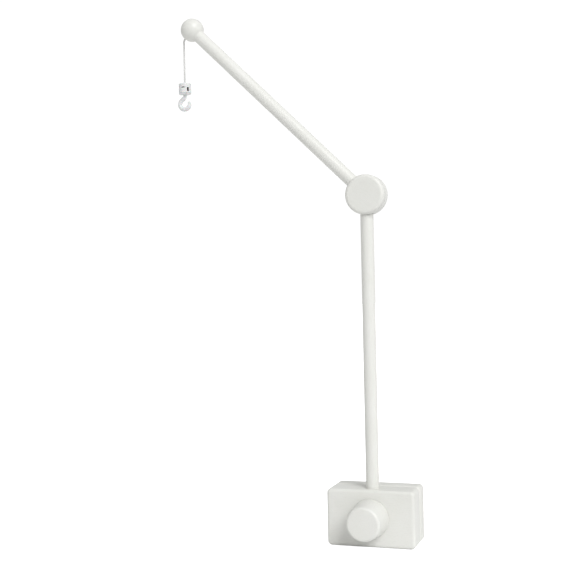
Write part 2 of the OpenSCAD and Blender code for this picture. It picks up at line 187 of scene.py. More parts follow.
def to_object(name, bm, sharp=32):
    """Turns a bmesh into an object with smooth faces and crisp edges above an angle."""
    mesh = bpy.data.meshes.new(name)
    bm.to_mesh(mesh)
    bm.free()
    piece = bpy.data.objects.new(name, mesh)
    bpy.context.scene.collection.objects.link(piece)
    mesh.shade_smooth()
    mesh.set_sharp_from_angle(angle=math.radians(sharp))
    return piece


def lathe(name, outline, place, closed=False, turns=TURNS):
    """Spins (radius, height) points about +Z. A closed outline makes a ring or a shell."""
    bm = bmesh.new()
    rings = []
    for radius, height in outline:
        if radius < 1e-7:
            rings.append([bm.verts.new((0, 0, height))])
            continue
        angles = [2 * math.pi * i / turns for i in range(turns)]
        points = [(radius * math.cos(a), radius * math.sin(a), height) for a in angles]
        rings.append([bm.verts.new(point) for point in points])
    pairs = list(zip(rings, rings[1:])) + ([(rings[-1], rings[0])] if closed else [])
    for low, high in pairs:
        for i in range(turns):
            j = (i + 1) % turns
            corners = (low[i % len(low)], low[j % len(low)], high[j % len(high)], high[i % len(high)])
            corners = list(dict.fromkeys(corners))
            if len(corners) > 2:
                bm.faces.new(corners)
    bm.transform(place)
    bmesh.ops.recalc_face_normals(bm, faces=bm.faces)
    return to_object(name, bm)


def along(origin, direction, sideways=(0, 1, 0)):
    """A place whose +Z runs in a direction and whose +Y stays near another one."""
    z = Vector(direction).normalized()
    x = Vector(sideways).cross(z).normalized()
    return Matrix.Translation(origin) @ Matrix((x, z.cross(x), z)).transposed().to_4x4()


def facing(x, y, z, outward=INWARD):
    """A place on a face square to Y, whose +Z runs along Y."""
    return along(Vector((x, y, z)), outward, UPRIGHT)


def spanning(low, high):
    """What turns a cube of size 1 into the box between two corners."""
    return Matrix.Translation((low + high) / 2) @ Matrix.Diagonal((*(high - low), 1))


def in_order(bm):
    """The same shape with its corners and faces in a fixed order, which a second bevel mixes up."""
    corners = sorted(bm.verts, key=lambda corner: tuple(corner.co))
    number = {corner: i for i, corner in enumerate(corners)}
    rings = []
    for face in bm.faces:
        ring = [number[corner] for corner in face.verts]
        first = ring.index(min(ring))
        rings.append(ring[first:] + ring[:first])
    fresh = bmesh.new()
    made = [fresh.verts.new(corner.co) for corner in corners]
    for ring in sorted(rings):
        fresh.faces.new([made[i] for i in ring])
    bm.free()
    return fresh


def box_piece(name, shape, corner=0.0, segments=8, rim=0.0, profile=0.5, place=None):
    """A box with its edges along Y bevelled, and after them the rims of its two ends."""
    bm = bmesh.new()
    bmesh.ops.create_cube(bm, size=1, matrix=shape)
    for lengthwise, offset, count in ((True, corner, segments), (False, rim, RIM_SEGMENTS)):
        if offset:
            edges = [e for e in bm.edges
                     if (abs((e.verts[0].co - e.verts[1].co).y) > 0.1 * MM) == lengthwise]
            bmesh.ops.bevel(bm, geom=edges, offset=offset, segments=count, profile=profile, affect="EDGES")
    if rim:
        bm = in_order(bm)
    if place:
        bm.transform(place)
    bmesh.ops.recalc_face_normals(bm, faces=bm.faces)
    return to_object(name, bm)


def apply_modifiers(piece, sharp=32):
    """Makes what the modifiers show the piece's own mesh, and removes them."""
    depsgraph = bpy.context.evaluated_depsgraph_get()
    mesh = bpy.data.meshes.new_from_object(piece.evaluated_get(depsgraph))
    piece.modifiers.clear()
    old = piece.data
    piece.data = mesh
    bpy.data.meshes.remove(old)
    mesh.shade_smooth()
    mesh.set_sharp_from_angle(angle=math.radians(sharp))
    return piece


def cut(piece, *cutters):
    """Cuts the cutters out of the piece, as a drill or a saw would, and removes them."""
    for cutter in cutters:
        modifier = piece.modifiers.new("cut", "BOOLEAN")
        modifier.operation = "DIFFERENCE"
        modifier.solver = "EXACT"
        modifier.object = cutter
    bpy.context.view_layer.update()
    apply_modifiers(piece)
    for cutter in cutters:
        bpy.data.objects.remove(cutter)
    return piece


def drill(place, radius, depth, flare=0.0, turns=64):
    """A cutter that runs down from z = 0, with a rounded flare at its mouth."""
    outline = [(0, -depth), (radius, -depth)]
    if flare:
        outline += arc(radius + flare, -flare, flare, 180, 90, 6)
        outline += [(radius + flare, flare), (0, flare)]
    else:
        outline += [(radius, 1 * MM), (0, 1 * MM)]
    return lathe("cutter", outline, place, turns=turns)


print("shape helpers ready")

# %% [markdown]
# ## Helper for wires and knots
#
# The hook and the knots are round stock bent along a path. A sweep carries a ring of points
# down the path and turns it as little as it can from one step to the next, which keeps a
# seam line straight along the wire. A ring size for each step lets a tip close to a dome.

# %% Sweeps
def turned_frames(path):
    """The direction and the least-turned side vector at each point of a path."""
    last = len(path) - 1
    steps = [(path[min(i + 1, last)] - path[max(i - 1, 0)]).normalized() for i in range(last + 1)]
    side = steps[0].orthogonal().normalized()
    frames = []
    for step in steps:
        side = (side - step * side.dot(step)).normalized()
        frames.append((step, side))
    return frames


def sweep(name, path, ring, sizes, sharp=40):
    """Runs a ring of (angle, radius) points down a path, scaled by one size a step."""
    bm = bmesh.new()
    rows = []
    for point, (step, side), scale in zip(path, turned_frames(path), sizes):
        other = step.cross(side)
        rows.append([
            bm.verts.new(point + scale * radius * (math.cos(angle) * side + math.sin(angle) * other))
            for angle, radius in ring])
    for low, high in zip(rows, rows[1:]):
        for i in range(len(ring)):
            j = (i + 1) % len(ring)
            bm.faces.new((low[i], low[j], high[j], high[i]))
    bm.faces.new(rows[0])
    bm.faces.new(rows[-1])
    bmesh.ops.recalc_face_normals(bm, faces=bm.faces)
    return to_object(name, bm, sharp)


def round_ring(radius, count):
    return [(2 * math.pi * i / count, radius) for i in range(count)]


print("sweep helper ready")

# %% [markdown]
# ## Helper for node trees
#
# Shaders and Geometry Nodes are the same kind of graph. One small class adds a node, sets its
# settings first and then its sockets. What it hands back can be used in plain sums, so a
# pattern reads as arithmetic, and each sum becomes a Math node. Two shorter calls serve the
# Geometry Nodes: one names a node and its sockets, and one sweeps a tube along a curve.

# %% Node graphs
def maths(kind, swapped=False):
    def combine(self, other):
        first, second = (other, self) if swapped else (self, other)
        return self.graph.add("ShaderNodeMath", {"operation": kind}, {0: first, 1: second})
    return combine


class Link:
    """An output of a node, which plain sums work on."""

    def __init__(self, graph, node, output):
        self.graph, self.node, self.socket = graph, node, node.outputs[output]

    def out(self, name):
        return Link(self.graph, self.node, name)

    __add__ = __radd__ = maths("ADD")
    __mul__ = __rmul__ = maths("MULTIPLY")
    __sub__, __rsub__ = maths("SUBTRACT"), maths("SUBTRACT", True)
    __truediv__ = maths("DIVIDE")

    def wave(self, kind="SINE"):
        return self.graph.add("ShaderNodeMath", {"operation": kind}, {0: self})

    def fade(self, low, high):
        """0 below low, 1 above high, and smooth between; the other way round if low > high."""
        return self.graph.add(
            "ShaderNodeMapRange", {"interpolation_type": "SMOOTHSTEP"},
            {"Value": self, "From Min": low, "From Max": high})


class Graph:
    """A node tree that is written one node at a time."""

    def __init__(self, tree):
        self.tree = tree

    def add(self, kind, settings=None, inputs=None, output=0):
        node = self.tree.nodes.new(kind)
        for name, value in (settings or {}).items():
            setattr(node, name, value)
        for name, value in (inputs or {}).items():
            if isinstance(value, Link):
                self.tree.links.new(value.socket, node.inputs[name])
            else:
                node.inputs[name].default_value = value
        return Link(self, node, output)

    def vector(self, kind, *values):
        output = "Value" if kind == "DOT_PRODUCT" else "Vector"
        return self.add("ShaderNodeVectorMath", {"operation": kind}, dict(enumerate(values)), output)

    def scaled(self, vector, amount):
        return self.add("ShaderNodeVectorMath", {"operation": "SCALE"}, {0: vector, "Scale": amount})

    def geo(self, kind, settings=None, **inputs):
        """A node of Geometry Nodes. An underscore stands for a space in a socket's name."""
        sockets = {name.replace("_", " "): value for name, value in inputs.items()}
        return self.add("GeometryNode" + kind, settings, sockets)

    def tube(self, path, sides, radius, caps=True):
        ring = self.geo("CurvePrimitiveCircle", {"mode": "RADIUS"}, Resolution=sides, Radius=radius)
        return self.geo("CurveToMesh", Curve=path, Profile_Curve=ring, Fill_Caps=caps)


print("graph helper ready")

# %% [markdown]
# ## Helper for finishes
#
# A finish is a material whose shader is the Principled one. What varies over the surface is
# only its colour, its roughness and its bumps, which are the three things that light shows.
# Patterns are measured in metres of the object's own space, so a grain of 1 mm is 1 mm.

# %% Finishes
class Finish(Graph):
    def __init__(self, name, **constants):
        self.material = bpy.data.materials.new(name)
        self.material.use_nodes = True
        super().__init__(self.material.node_tree)
        self.shader = self.tree.nodes["Principled BSDF"]
        for socket, value in constants.items():
            self.shader.inputs[socket.replace("_", " ")].default_value = value
        self.place = self.add("ShaderNodeTexCoord", output="Object")

    def noise(self, size_mm, detail, rough, at=None):
        sockets = {"Vector": at or self.place, "Scale": 1000 / size_mm, "Detail": detail, "Roughness": rough}
        return self.add("ShaderNodeTexNoise", None, sockets)

    def cells(self, size_mm, at=None, output="Distance"):
        sockets = {"Vector": at or self.place, "Scale": 1000 / size_mm}
        return self.add("ShaderNodeTexVoronoi", None, sockets, output)

    def stretched(self, way, share):
        """The place, with lengths along a direction shrunk to a share, so patterns run along it."""
        distance = self.vector("DOT_PRODUCT", self.place, tuple(way))
        return self.vector("ADD", self.place, self.scaled(tuple(way), distance * (share - 1)))

    def blend(self, factor, first, second):
        return self.add("ShaderNodeMix", {"data_type": "RGBA"}, {0: factor, 6: first, 7: second}, 2)

    def done(self, colour, roughness, height, height_mm, strength):
        """The finished material; the height of its bumps is a share of so many millimetres."""
        sockets = {"Height": height, "Distance": height_mm * MM, "Strength": strength}
        bump = self.add("ShaderNodeBump", None, sockets)
        for name, value in (("Base Color", colour), ("Roughness", roughness), ("Normal", bump)):
            self.tree.links.new(value.socket, self.shader.inputs[name])
        return self.material


def grey(value):
    return (value, value, value, 1)


print("finish helper ready")

# %% [markdown]
# ## Painted wood
#
# The blocks, the dowels, the discs, the knob and the ball are turned or sawn beech, sprayed
# with a satin off-white paint. Paint hides the colour of wood but not its surface: fibres
# stand up along the grain, the spray leaves a fine orange peel, and a few nibs of dust dry in
# it. So the pattern is stretched along the grain of each piece, and four finishes share it:
# upright, along the arm, across the blocks, and along the knob.

# %% Painted wood
def painted_wood(name, grain):
    paint = Finish(name, Specular_IOR_Level=0.45, Coat_Weight=0.08, Coat_Roughness=0.3)
    along_grain = paint.stretched(grain, 0.035)
    fibres = paint.noise(0.7, 3, 0.6, along_grain)
    pores = paint.noise(0.32, 2, 0.5, paint.stretched(grain, 0.09)).fade(0.60, 0.72)
    peel = paint.noise(1.6, 2, 0.45)
    clouds = paint.noise(55, 3, 0.55)
    handled = paint.noise(14, 4, 0.6)
    nibs = paint.cells(9).fade(0.045, 0.02)
    colour = paint.blend(clouds.fade(0.35, 0.7), (0.735, 0.738, 0.700, 1), (0.755, 0.757, 0.726, 1))
    colour = paint.blend(fibres.fade(0.45, 0.75) * 0.22, colour, (0.63, 0.627, 0.585, 1))
    colour = paint.blend(pores * 0.3 + nibs * 0.25, colour, (0.52, 0.51, 0.47, 1))
    roughness = 0.33 + handled.fade(0.3, 0.75) * 0.16 + pores * 0.15 - nibs * 0.1
    height = fibres * 0.16 + peel * 0.4 - pores * 0.08 + nibs * 0.8
    return paint.done(colour, roughness, height, 0.03, 0.5)


paint_upright = painted_wood("painted_wood_upright", UPRIGHT)
paint_arm = painted_wood("painted_wood_arm", arm_way)
paint_blocks = painted_wood("painted_wood_blocks", ACROSS)
paint_knob = painted_wood("painted_wood_knob", INWARD)
print(len(paint_arm.node_tree.nodes), "nodes in the paint")

# %% [markdown]
# ## Bare beech
#
# Paint isn't sprayed down a drilled hole, and the guide pins are plain dowel. Beech is pale
# pink-brown with soft growth bands and many short dark flecks, the ends of its rays, a
# millimetre or two long in the direction of the grain. Cells stretched along the grain and
# cut off near their middles give flecks of about the right length.

# %% Bare beech
def bare_beech(name, grain):
    wood = Finish(name, Specular_IOR_Level=0.3)
    bands = wood.noise(6, 3, 0.55, wood.stretched(grain, 0.05))
    fibres = wood.noise(0.25, 3, 0.6, wood.stretched(grain, 0.03))
    flecks = wood.cells(1.1, wood.stretched(grain, 0.3)).fade(0.26, 0.12)
    colour = wood.blend(bands.fade(0.3, 0.7), (0.60, 0.41, 0.24, 1), (0.70, 0.51, 0.33, 1))
    colour = wood.blend(fibres.fade(0.4, 0.8) * 0.35, colour, (0.46, 0.29, 0.16, 1))
    colour = wood.blend(flecks * 0.5, colour, (0.34, 0.19, 0.10, 1))
    return wood.done(colour, 0.58 + fibres * 0.25, fibres * 0.6 - flecks * 0.3, 0.06, 0.7)


beech_inside = bare_beech("bare_beech_inside", ACROSS)
beech_pins = bare_beech("bare_beech_pins", INWARD)
print("bare beech ready")

# %% [markdown]
# ## White moulded plastic
#
# The swivel and the hook are injection moulded, smoother and a little bluer than the paint.
# Moulded parts show a faint mottling where the plastic flowed, and fine rub marks where the
# hook swings. A little light passes into the surface, which softens the shade in the eye.

# %% White plastic
def moulded_white(name):
    plastic = Finish(name, IOR=1.49, Subsurface_Weight=0.08, Subsurface_Scale=0.002)
    flow = plastic.noise(3.5, 3, 0.6)
    grain = plastic.noise(0.18, 2, 0.5)
    rubs = plastic.noise(0.4, 2, 0.6, plastic.stretched(UPRIGHT, 9.0)).fade(0.62, 0.75)
    colour = plastic.blend(flow.fade(0.3, 0.75), (0.71, 0.717, 0.722, 1), (0.735, 0.741, 0.738, 1))
    colour = plastic.blend(rubs * 0.25, colour, (0.66, 0.665, 0.66, 1))
    roughness = 0.2 + flow * 0.12 + rubs * 0.2
    return plastic.done(colour, roughness, flow * 0.5 + grain * 0.35 - rubs * 0.3, 0.02, 0.6)


white_plastic = moulded_white("white_plastic")
print("white plastic ready")

# %% [markdown]
# ## Metals
#
# The bolt, the stud, the screw, the nut and the washers are zinc-plated steel: a cold grey
# with a faint yellow and blue cast from its passivation, and fine turning marks. The insert
# and the bush are brass, warmer and a little tarnished. One recipe makes both.

# %% Metals
def plated_metal(name, bright, dull, cast):
    metal = Finish(name, Metallic=1.0)
    turning = metal.noise(0.12, 2, 0.5, metal.stretched(ACROSS, 0.02))
    crystals = metal.cells(0.9, output="Color")
    stain = metal.noise(7, 4, 0.6)
    colour = metal.blend(stain.fade(0.35, 0.7), bright, dull)
    colour = metal.blend(metal.noise(16, 2, 0.5).fade(0.45, 0.7) * 0.4, colour, cast)
    spots = metal.vector("DOT_PRODUCT", crystals, (0.33, 0.33, 0.33))
    roughness = 0.24 + stain * 0.2 + spots * 0.1
    return metal.done(colour, roughness, turning * 0.6 + spots * 0.25, 0.012, 0.6)


zinc = plated_metal("zinc_plate", (0.62, 0.63, 0.65, 1), (0.50, 0.51, 0.52, 1), (0.60, 0.58, 0.48, 1))
brass = plated_metal("brass", (0.74, 0.55, 0.27, 1), (0.58, 0.40, 0.18, 1), (0.42, 0.29, 0.15, 1))
print("metals ready")

# %% [markdown]
# ## Felt, rubber, and a black bush as painted shade
#
# Grey felt pads line the jaws so that the clamp doesn't dent the crib. A thin rubber washer
# between the discs holds the arm by friction. The bush in the swivel is made near black, waxy
# and smooth, as painted shade for the dark seen through the swivel's window. Each gets two
# scales of texture.

# %% Soft and dark finishes
def felt_finish(name):
    felt = Finish(name, Sheen_Weight=0.35, Sheen_Roughness=0.6, Specular_IOR_Level=0.1)
    tufts, hairs = felt.noise(2.2, 4, 0.7), felt.noise(0.16, 3, 0.7)
    colour = felt.blend(tufts.fade(0.3, 0.7), (0.30, 0.305, 0.31, 1), (0.44, 0.44, 0.43, 1))
    colour = felt.blend(hairs.fade(0.5, 0.7) * 0.5, colour, (0.60, 0.60, 0.58, 1))
    return felt.done(colour, 0.86 + hairs * 0.14, tufts * 0.5 + hairs, 0.25, 0.8)


def dark_finish(name, low, high, dull, height_mm):
    stuff = Finish(name, Specular_IOR_Level=0.4)
    coarse, fine = stuff.noise(2.5, 3, 0.6), stuff.noise(0.22, 2, 0.6)
    colour = stuff.blend(coarse.fade(0.3, 0.7), grey(low), grey(high))
    colour = stuff.blend(fine.fade(0.6, 0.75) * 0.4, colour, grey(high * 1.8))
    return stuff.done(colour, dull + coarse * 0.15, coarse * 0.4 + fine * 0.6, height_mm, 0.7)


felt = felt_finish("grey_felt")
rubber = dark_finish("black_rubber", 0.022, 0.035, 0.62, 0.05)
# Painted shade: the swivel's bush is made near black to stand for the shade seen through the swivel's window.
bush_painted_shade_black = dark_finish("black_acetal", 0.004, 0.008, 0.4, 0.015)
print("felt, rubber and acetal ready")

# %% [markdown]
# ## Putting pieces on bodies
#
# Each finished piece rides on the CAD body it belongs to and stands for the CAD node it
# replaces, which is hidden. One helper does both, and one does it for a piece straight from the
# lathe. Another gives a CAD node that stays in view its real finish.

# %% Fitting
def wear(piece, *materials):
    piece.data.materials.clear()
    for material in materials:
        piece.data.materials.append(material)
    return piece


def fit(piece, body, slot, *nodes):
    """The piece moves with the body and stands for the nodes, which are hidden; the slot is not used."""
    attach(piece, body)
    if nodes:
        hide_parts(*nodes)
    print(piece.name, "has", len(piece.data.polygons), "faces and rides on", body)
    return piece


def turned(name, outline, place, material, body, slot, node, **options):
    return fit(wear(lathe(name, outline, place, **options), material), body, slot, node)


def refinish(node, material):
    wear(frame["nodes"][node], material)


print("fitting helpers ready")

# %% [markdown]
# ## Geometry Nodes helpers
#
# What repeats, such as the yarns of a braid, the turns of a thread and the hairs of felt, is
# grown by a node tree with named sizes. The tree ends by making its copies real and giving
# them their material. Its result is then kept as a plain mesh and the modifier is removed.

# %% Geometry Nodes
def size_tree(name, *sizes):
    """A geometry tree with one shape and named sizes going in, and its group input."""
    tree = bpy.data.node_groups.new(name, "GeometryNodeTree")
    tree.interface.new_socket("Shape", in_out="INPUT", socket_type="NodeSocketGeometry")
    for size in sizes:
        tree.interface.new_socket(size, in_out="INPUT", socket_type="NodeSocketFloat")
    tree.interface.new_socket("Shape", in_out="OUTPUT", socket_type="NodeSocketGeometry")
    graph = Graph(tree)
    return graph, graph.add("NodeGroupInput")


def end_tree(graph, shape, material):
    real = graph.geo("RealizeInstances", Geometry=shape)
    done = graph.geo("SetMaterial", Geometry=real, Material=material)
    last = graph.tree.nodes.new("NodeGroupOutput")
    graph.tree.links.new(done.socket, last.inputs["Shape"])


def grow(name, start, graph, place=None, **sizes):
    """Runs a tree on a start mesh with its sizes, and keeps the result as a plain mesh."""
    piece = bpy.data.objects.new(name, start)
    bpy.context.scene.collection.objects.link(piece)
    modifier = piece.modifiers.new("grow", "NODES")
    modifier.node_group = graph.tree
    for item in graph.tree.interface.items_tree:
        key = item.name.replace(" ", "_")
        if item.in_out == "INPUT" and key in sizes:
            modifier[item.identifier] = float(sizes[key])
    bpy.context.view_layer.update()
    apply_modifiers(piece, 50)
    if place:
        piece.data.transform(place)
    return piece


print("growing helpers ready")

# %% [markdown]
# ## Cord cloth
#
# The cord is white braided cotton, 2.5 mm thick and limp. Each yarn is slightly lighter or
# darker than the next one, and its plies make fine slanted ridges, with painted shade darkening
# the grooves between them. The tree below stores how far along the cord each point lies and
# which yarn it is on, and the finish reads both.

# %% Cord cloth
def braid_cloth(name):
    cloth = Finish(name, Sheen_Weight=0.3, Sheen_Roughness=0.5, Specular_IOR_Level=0.2)
    along_yarn = cloth.add("ShaderNodeAttribute", {"attribute_name": "along"}, None, "Fac")
    yarn = cloth.add("ShaderNodeAttribute", {"attribute_name": "yarn"}, None, "Fac")
    fuzz = cloth.noise(0.22, 4, 0.7)
    plies = (along_yarn * (2 * math.pi / (0.55 * MM)) + fuzz * 3).wave() * 0.5 + 0.5
    tone = (yarn * 2.4).wave() * 0.5 + 0.5
    colour = cloth.blend(tone, (0.70, 0.70, 0.69, 1), (0.76, 0.76, 0.75, 1))
    # Painted shade: the grooves between the ply ridges are darkened; the fuzz adds a random tone.
    colour = cloth.blend((1 - plies) * 0.15 + fuzz * 0.1, colour, (0.62, 0.62, 0.60, 1))
    return cloth.done(colour, 0.75 + fuzz * 0.2, plies * 0.6 + fuzz * 0.4, 0.05, 0.8)


white_cord = braid_cloth("white_cord")
print("cord cloth ready")

# %% [markdown]
# ## The cord's route
#
# The cord comes out of the ball square to the arm, turns down within a few diameters and
# hangs straight, because the swivel and hook pull on it. The route starts a little inside the
# ball's bore and ends in the knot under the swivel's top. Its whole length is in view, so it
# is as long as the way between those two places.

# %% The cord's route
across_arm = Vector((arm_way.z, 0, -arm_way.x))
cord_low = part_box("cord")[0]
CORD_DIAMETER = 2.5 * MM
hang_x = cord_low.x + CORD_DIAMETER / 2
mouth = ball_centre - across_arm * (ball_radius - 0.2 * MM)
bend = [(-266.1, 715.2), (-266.6, 714.1), (-267.0, 712.9)]
route = [mouth + across_arm * 3.2 * MM, mouth + across_arm * 1.6 * MM, mouth]
route += [Vector((x * MM, pivot.y, z * MM)) for x, z in bend]
straight_top, straight_end = 711.7 * MM, cord_low.z + 0.05 * MM
HANG_STEPS = 12
for i in range(HANG_STEPS + 1):
    height = straight_top + (straight_end - straight_top) * i / HANG_STEPS
    route.append(Vector((hang_x, pivot.y, height)))

# %% [markdown]
# ## The braid
#
# A flat braid could be a texture on a tube, but a round braid is really yarns that wind both
# ways and pass over and under each other. Each yarn here is a copy of the route, moved out
# by a radius that swells and shrinks as it crosses the others. The two hands use opposite
# signs, so at each crossing one goes over and the next goes under. A core fills the middle.

# %% The braid
YARNS = 6


def braid_tree():
    graph, given = size_tree(
        "braid", "Step", "Turn length", "Ring radius", "Swell", "Yarn radius", "Core radius")
    line = graph.geo("MeshToCurve", Mesh=given)
    line = graph.geo("CurveSplineType", {"spline_type": "CATMULL_ROM"}, Curve=line)
    line = graph.geo("ResampleCurve", {"mode": "LENGTH"}, Curve=line, Length=given.out("Step"))
    distance = graph.geo("SplineParameter").out("Length")
    normal, tangent = graph.geo("InputNormal"), graph.geo("InputTangent")
    side = graph.vector("CROSS_PRODUCT", tangent, normal)
    turn = distance * (2 * math.pi) / given.out("Turn length")
    strands = []
    for hand in (1, -1):
        copies = graph.geo("DuplicateElements", {"domain": "SPLINE"}, Geometry=line, Amount=YARNS)
        index = copies.out("Duplicate Index")
        angle = turn * hand + index * (2 * math.pi / YARNS)
        radius = given.out("Ring radius") + given.out("Swell") * (turn * YARNS).wave("COSINE") * hand
        forward, sideways = radius * angle.wave("COSINE"), radius * angle.wave()
        offset = graph.vector("ADD", graph.scaled(normal, forward), graph.scaled(side, sideways))
        shape = copies
        for name, value in (("along", distance), ("yarn", index * 2 + hand)):
            kept = {"data_type": "FLOAT", "domain": "POINT"}
            shape = graph.geo("StoreNamedAttribute", kept, Geometry=shape, Name=name, Value=value)
        strands.append(graph.geo("SetPosition", Geometry=shape, Offset=offset))
    join = graph.geo("JoinGeometry")
    for path, sides, radius in (
            (strands[0], 5, "Yarn radius"), (strands[1], 5, "Yarn radius"), (line, 10, "Core radius")):
        tube = graph.tube(path, sides, given.out(radius))
        graph.tree.links.new(tube.socket, join.node.inputs["Geometry"])
    end_tree(graph, join, white_cord)
    return graph


def line_mesh(name, points):
    mesh = bpy.data.meshes.new(name)
    mesh.from_pydata(points, [(i, i + 1) for i in range(len(points) - 1)], [])
    return mesh


braid_sizes = dict(
    Step=0.22 * MM, Turn_length=5.4 * MM, Ring_radius=1.06 * MM, Swell=0.055 * MM,
    Yarn_radius=0.23 * MM, Core_radius=1.04 * MM)
braid = braid_tree()
hanging_cord = grow("hanging_cord", line_mesh("route", route), braid, **braid_sizes)
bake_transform(hanging_cord)
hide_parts("cord")
print("cord has", len(hanging_cord.data.polygons), "faces")

# %% [markdown]
# ## Knots at both ends of the cord
#
# The cord runs through the ball and is stopped in the upper hole by an overhand knot, and a
# second knot sits inside the swivel. A trefoil curve is the same knot with its ends joined,
# and it needs no drawing by hand. A short end with a melted tip sticks out of the upper one.

# %% The knots
def knot(name, place, reach, rise, thickness):
    """A tight overhand knot about the place's +Z."""
    count = 150
    scale = (reach - thickness) / 3
    path = []
    for i in range(count + 3):
        t = 2 * math.pi * i / count
        path.append(place @ Vector((
            scale * (math.sin(t) + 2 * math.sin(2 * t)), scale * (math.cos(t) - 2 * math.cos(2 * t)),
            -(rise - thickness) * math.sin(3 * t))))
    return wear(sweep(name, path, round_ring(thickness, 14), [1] * len(path)), white_cord)


knot_seat = ball_centre + across_arm * (ball_radius - 6.5 * MM)
knot_place = along(knot_seat + across_arm * 2.35 * MM, across_arm)
upper_knot = knot("upper_knot", knot_place, 3.15 * MM, 2.3 * MM, 1.12 * MM)
inner_route = [knot_seat + across_arm * 1.5 * MM, (knot_seat + mouth) / 2, mouth + across_arm * 3.2 * MM]
inner_cord = grow("inner_cord", line_mesh("inner_route", inner_route), braid, **braid_sizes)
tip_path = [knot_seat + across_arm * (4.0 + 0.25 * i) * MM + INWARD * 0.1 * i * MM for i in range(9)]
tip_sizes = [1, 1, 1, 1.02, 1.06, 1.08, 1.0, 0.75, 0.3]
cord_tip = wear(sweep("cord_tip", tip_path, round_ring(1.1 * MM, 18), tip_sizes, 60), white_cord)
for piece in (upper_knot, inner_cord, cord_tip):
    fit(piece, "arm", "white_cord", "stopper_knot")
inner_knot = knot("inner_knot", along(middle("swivel_knot"), UPRIGHT), 2.75 * MM, 1.88 * MM, 1.0 * MM)
fit(inner_knot, "pendant", "white_cord", "swivel_knot")

# %% [markdown]
# ## The hook
#
# The hook is one moulded piece: a straight neck that turns in the swivel, a short S-bend, and
# a round eye left open at the upper right so that a loop can be slipped on. Its wire is swept
# along a path, thinner in the neck and towards the tip, with a faint ridge on both sides
# where the two halves of the mould met. The neck ends in a head inside the swivel, and the
# tip in a dome.

# %% The hook
def bezier(a, b, c, d, steps):
    points = []
    for i in range(1, steps + 1):
        t = i / steps
        points.append(a * (1 - t) ** 3 + 3 * b * t * (1 - t) ** 2 + 3 * c * t * t * (1 - t) + d * t ** 3)
    return points


def smooth(share):
    share = min(1, max(0, share))
    return share * share * (3 - 2 * share)


hook_low, hook_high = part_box("hook")
WIRE, TIP_SHARE, NECK_SHARE = 3.05 * MM, 0.74, 0.77
EYE_RADIUS = 7.45 * MM
TIP_ANGLE, JOIN_ANGLE, TAPER_ANGLE = 377, 128, 55
HEAD_HEIGHT = 2.0 * MM
eye = Vector((hook_low.x + EYE_RADIUS + WIRE, pivot.y, hook_low.z + EYE_RADIUS + WIRE))


def eye_point(angle):
    return eye + EYE_RADIUS * Vector((math.cos(math.radians(angle)), 0, math.sin(math.radians(angle))))


def hook_path():
    """The middle line of the wire from the head to the tip, and the wire's size at each point."""
    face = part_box("swivel_cap")[0].z
    drops = [-4, -2, 0, 0.15, 0.3, 0.45, 0.9, 1.5]
    heights = [hook_high.z - 0.8 * MM] + [face - drop * MM for drop in drops]
    path = [Vector((hang_x, eye.y, z)) for z in heights]
    sizes = [0.985, 0.985, 0.985, 0.985, 0.95, 0.87, 0.80, NECK_SHARE, NECK_SHARE]
    join, turn = eye_point(JOIN_ANGLE), math.radians(JOIN_ANGLE)
    back = Vector((math.sin(turn), 0, -math.cos(turn)))
    steps = 16
    path += bezier(path[-1], path[-1] - UPRIGHT * 3.0 * MM, join + back * 3.4 * MM, join, steps)
    sizes += [NECK_SHARE + (1 - NECK_SHARE) * smooth(i / steps / 0.6) for i in range(1, steps + 1)]
    steps, taper = 70, TAPER_ANGLE / (TIP_ANGLE - JOIN_ANGLE)
    for i in range(1, steps + 1):
        path.append(eye_point(JOIN_ANGLE + (TIP_ANGLE - JOIN_ANGLE) * i / steps))
        sizes.append(1 - (1 - TIP_SHARE) * smooth((i / steps - 1 + taper) / taper))
    onward = (path[-1] - path[-2]).normalized()
    for angle in (10, 22, 34, 46, 58, 70, 80, 87):
        path.append(eye_point(TIP_ANGLE) + onward * WIRE * 0.6 * math.sin(math.radians(angle)))
        sizes.append(TIP_SHARE * math.cos(math.radians(angle)))
    return path, sizes


def ridged_ring(radius, ridge, count=48):
    """A round section with a small ridge on two opposite sides."""
    ring = []
    for i in range(count):
        angle = 2 * math.pi * i / count
        bump = math.exp(-(math.sin(angle) / 0.09) ** 2)
        ring.append((angle, radius - ridge + ridge * bump))
    return ring


path, sizes = hook_path()
hook = wear(sweep("hanging_hook", path, ridged_ring(WIRE, 0.07 * MM), sizes, 50), white_plastic)
fit(hook, "hook", "white_plastic", "hook")
head_place = Matrix.Translation((hang_x, eye.y, hook_high.z - HEAD_HEIGHT))
head = [(0, 0), (4.3 * MM, 0)] + arc(4.3 * MM, 0.4 * MM, 0.4 * MM, -90, 0, 4)
head += arc(4.1 * MM, 1.4 * MM, 0.6 * MM, 0, 90, 6) + [(0, HEAD_HEIGHT)]
hook_head = turned("hook_head", head, head_place, white_plastic, "hook", "white_plastic", "hook")

# %% [markdown]
# ## The swivel
#
# The swivel is a small cup that hangs on the cord, shut from below by a cap that holds the
# hook's head. A slot on its right shows the bush inside, made near black as painted shade for
# the dark inside the swivel; a small latch slot with a shallow groove beside it marks where the
# cap snaps in, and a hairline runs down the front where the mould parted. The cup is spun as a
# closed ring of wall, inside and out, then boxes cut the slots through it and the groove and the
# hairline into it. The cap is spun too, with a wide flange that meets the cup.

# %% The swivel
swivel_low, swivel_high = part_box("swivel_housing")
swivel_top, swivel_radius = swivel_high.z, size("swivel_housing").x / 2
cap_bottom, cap_top = (corner.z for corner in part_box("swivel_cap"))
swivel_place = Matrix.Translation((hang_x, pivot.y, 0))
WALL, TOP, CUTTER_LENGTH = 2.0 * MM, 2.4 * MM, 4.5 * MM


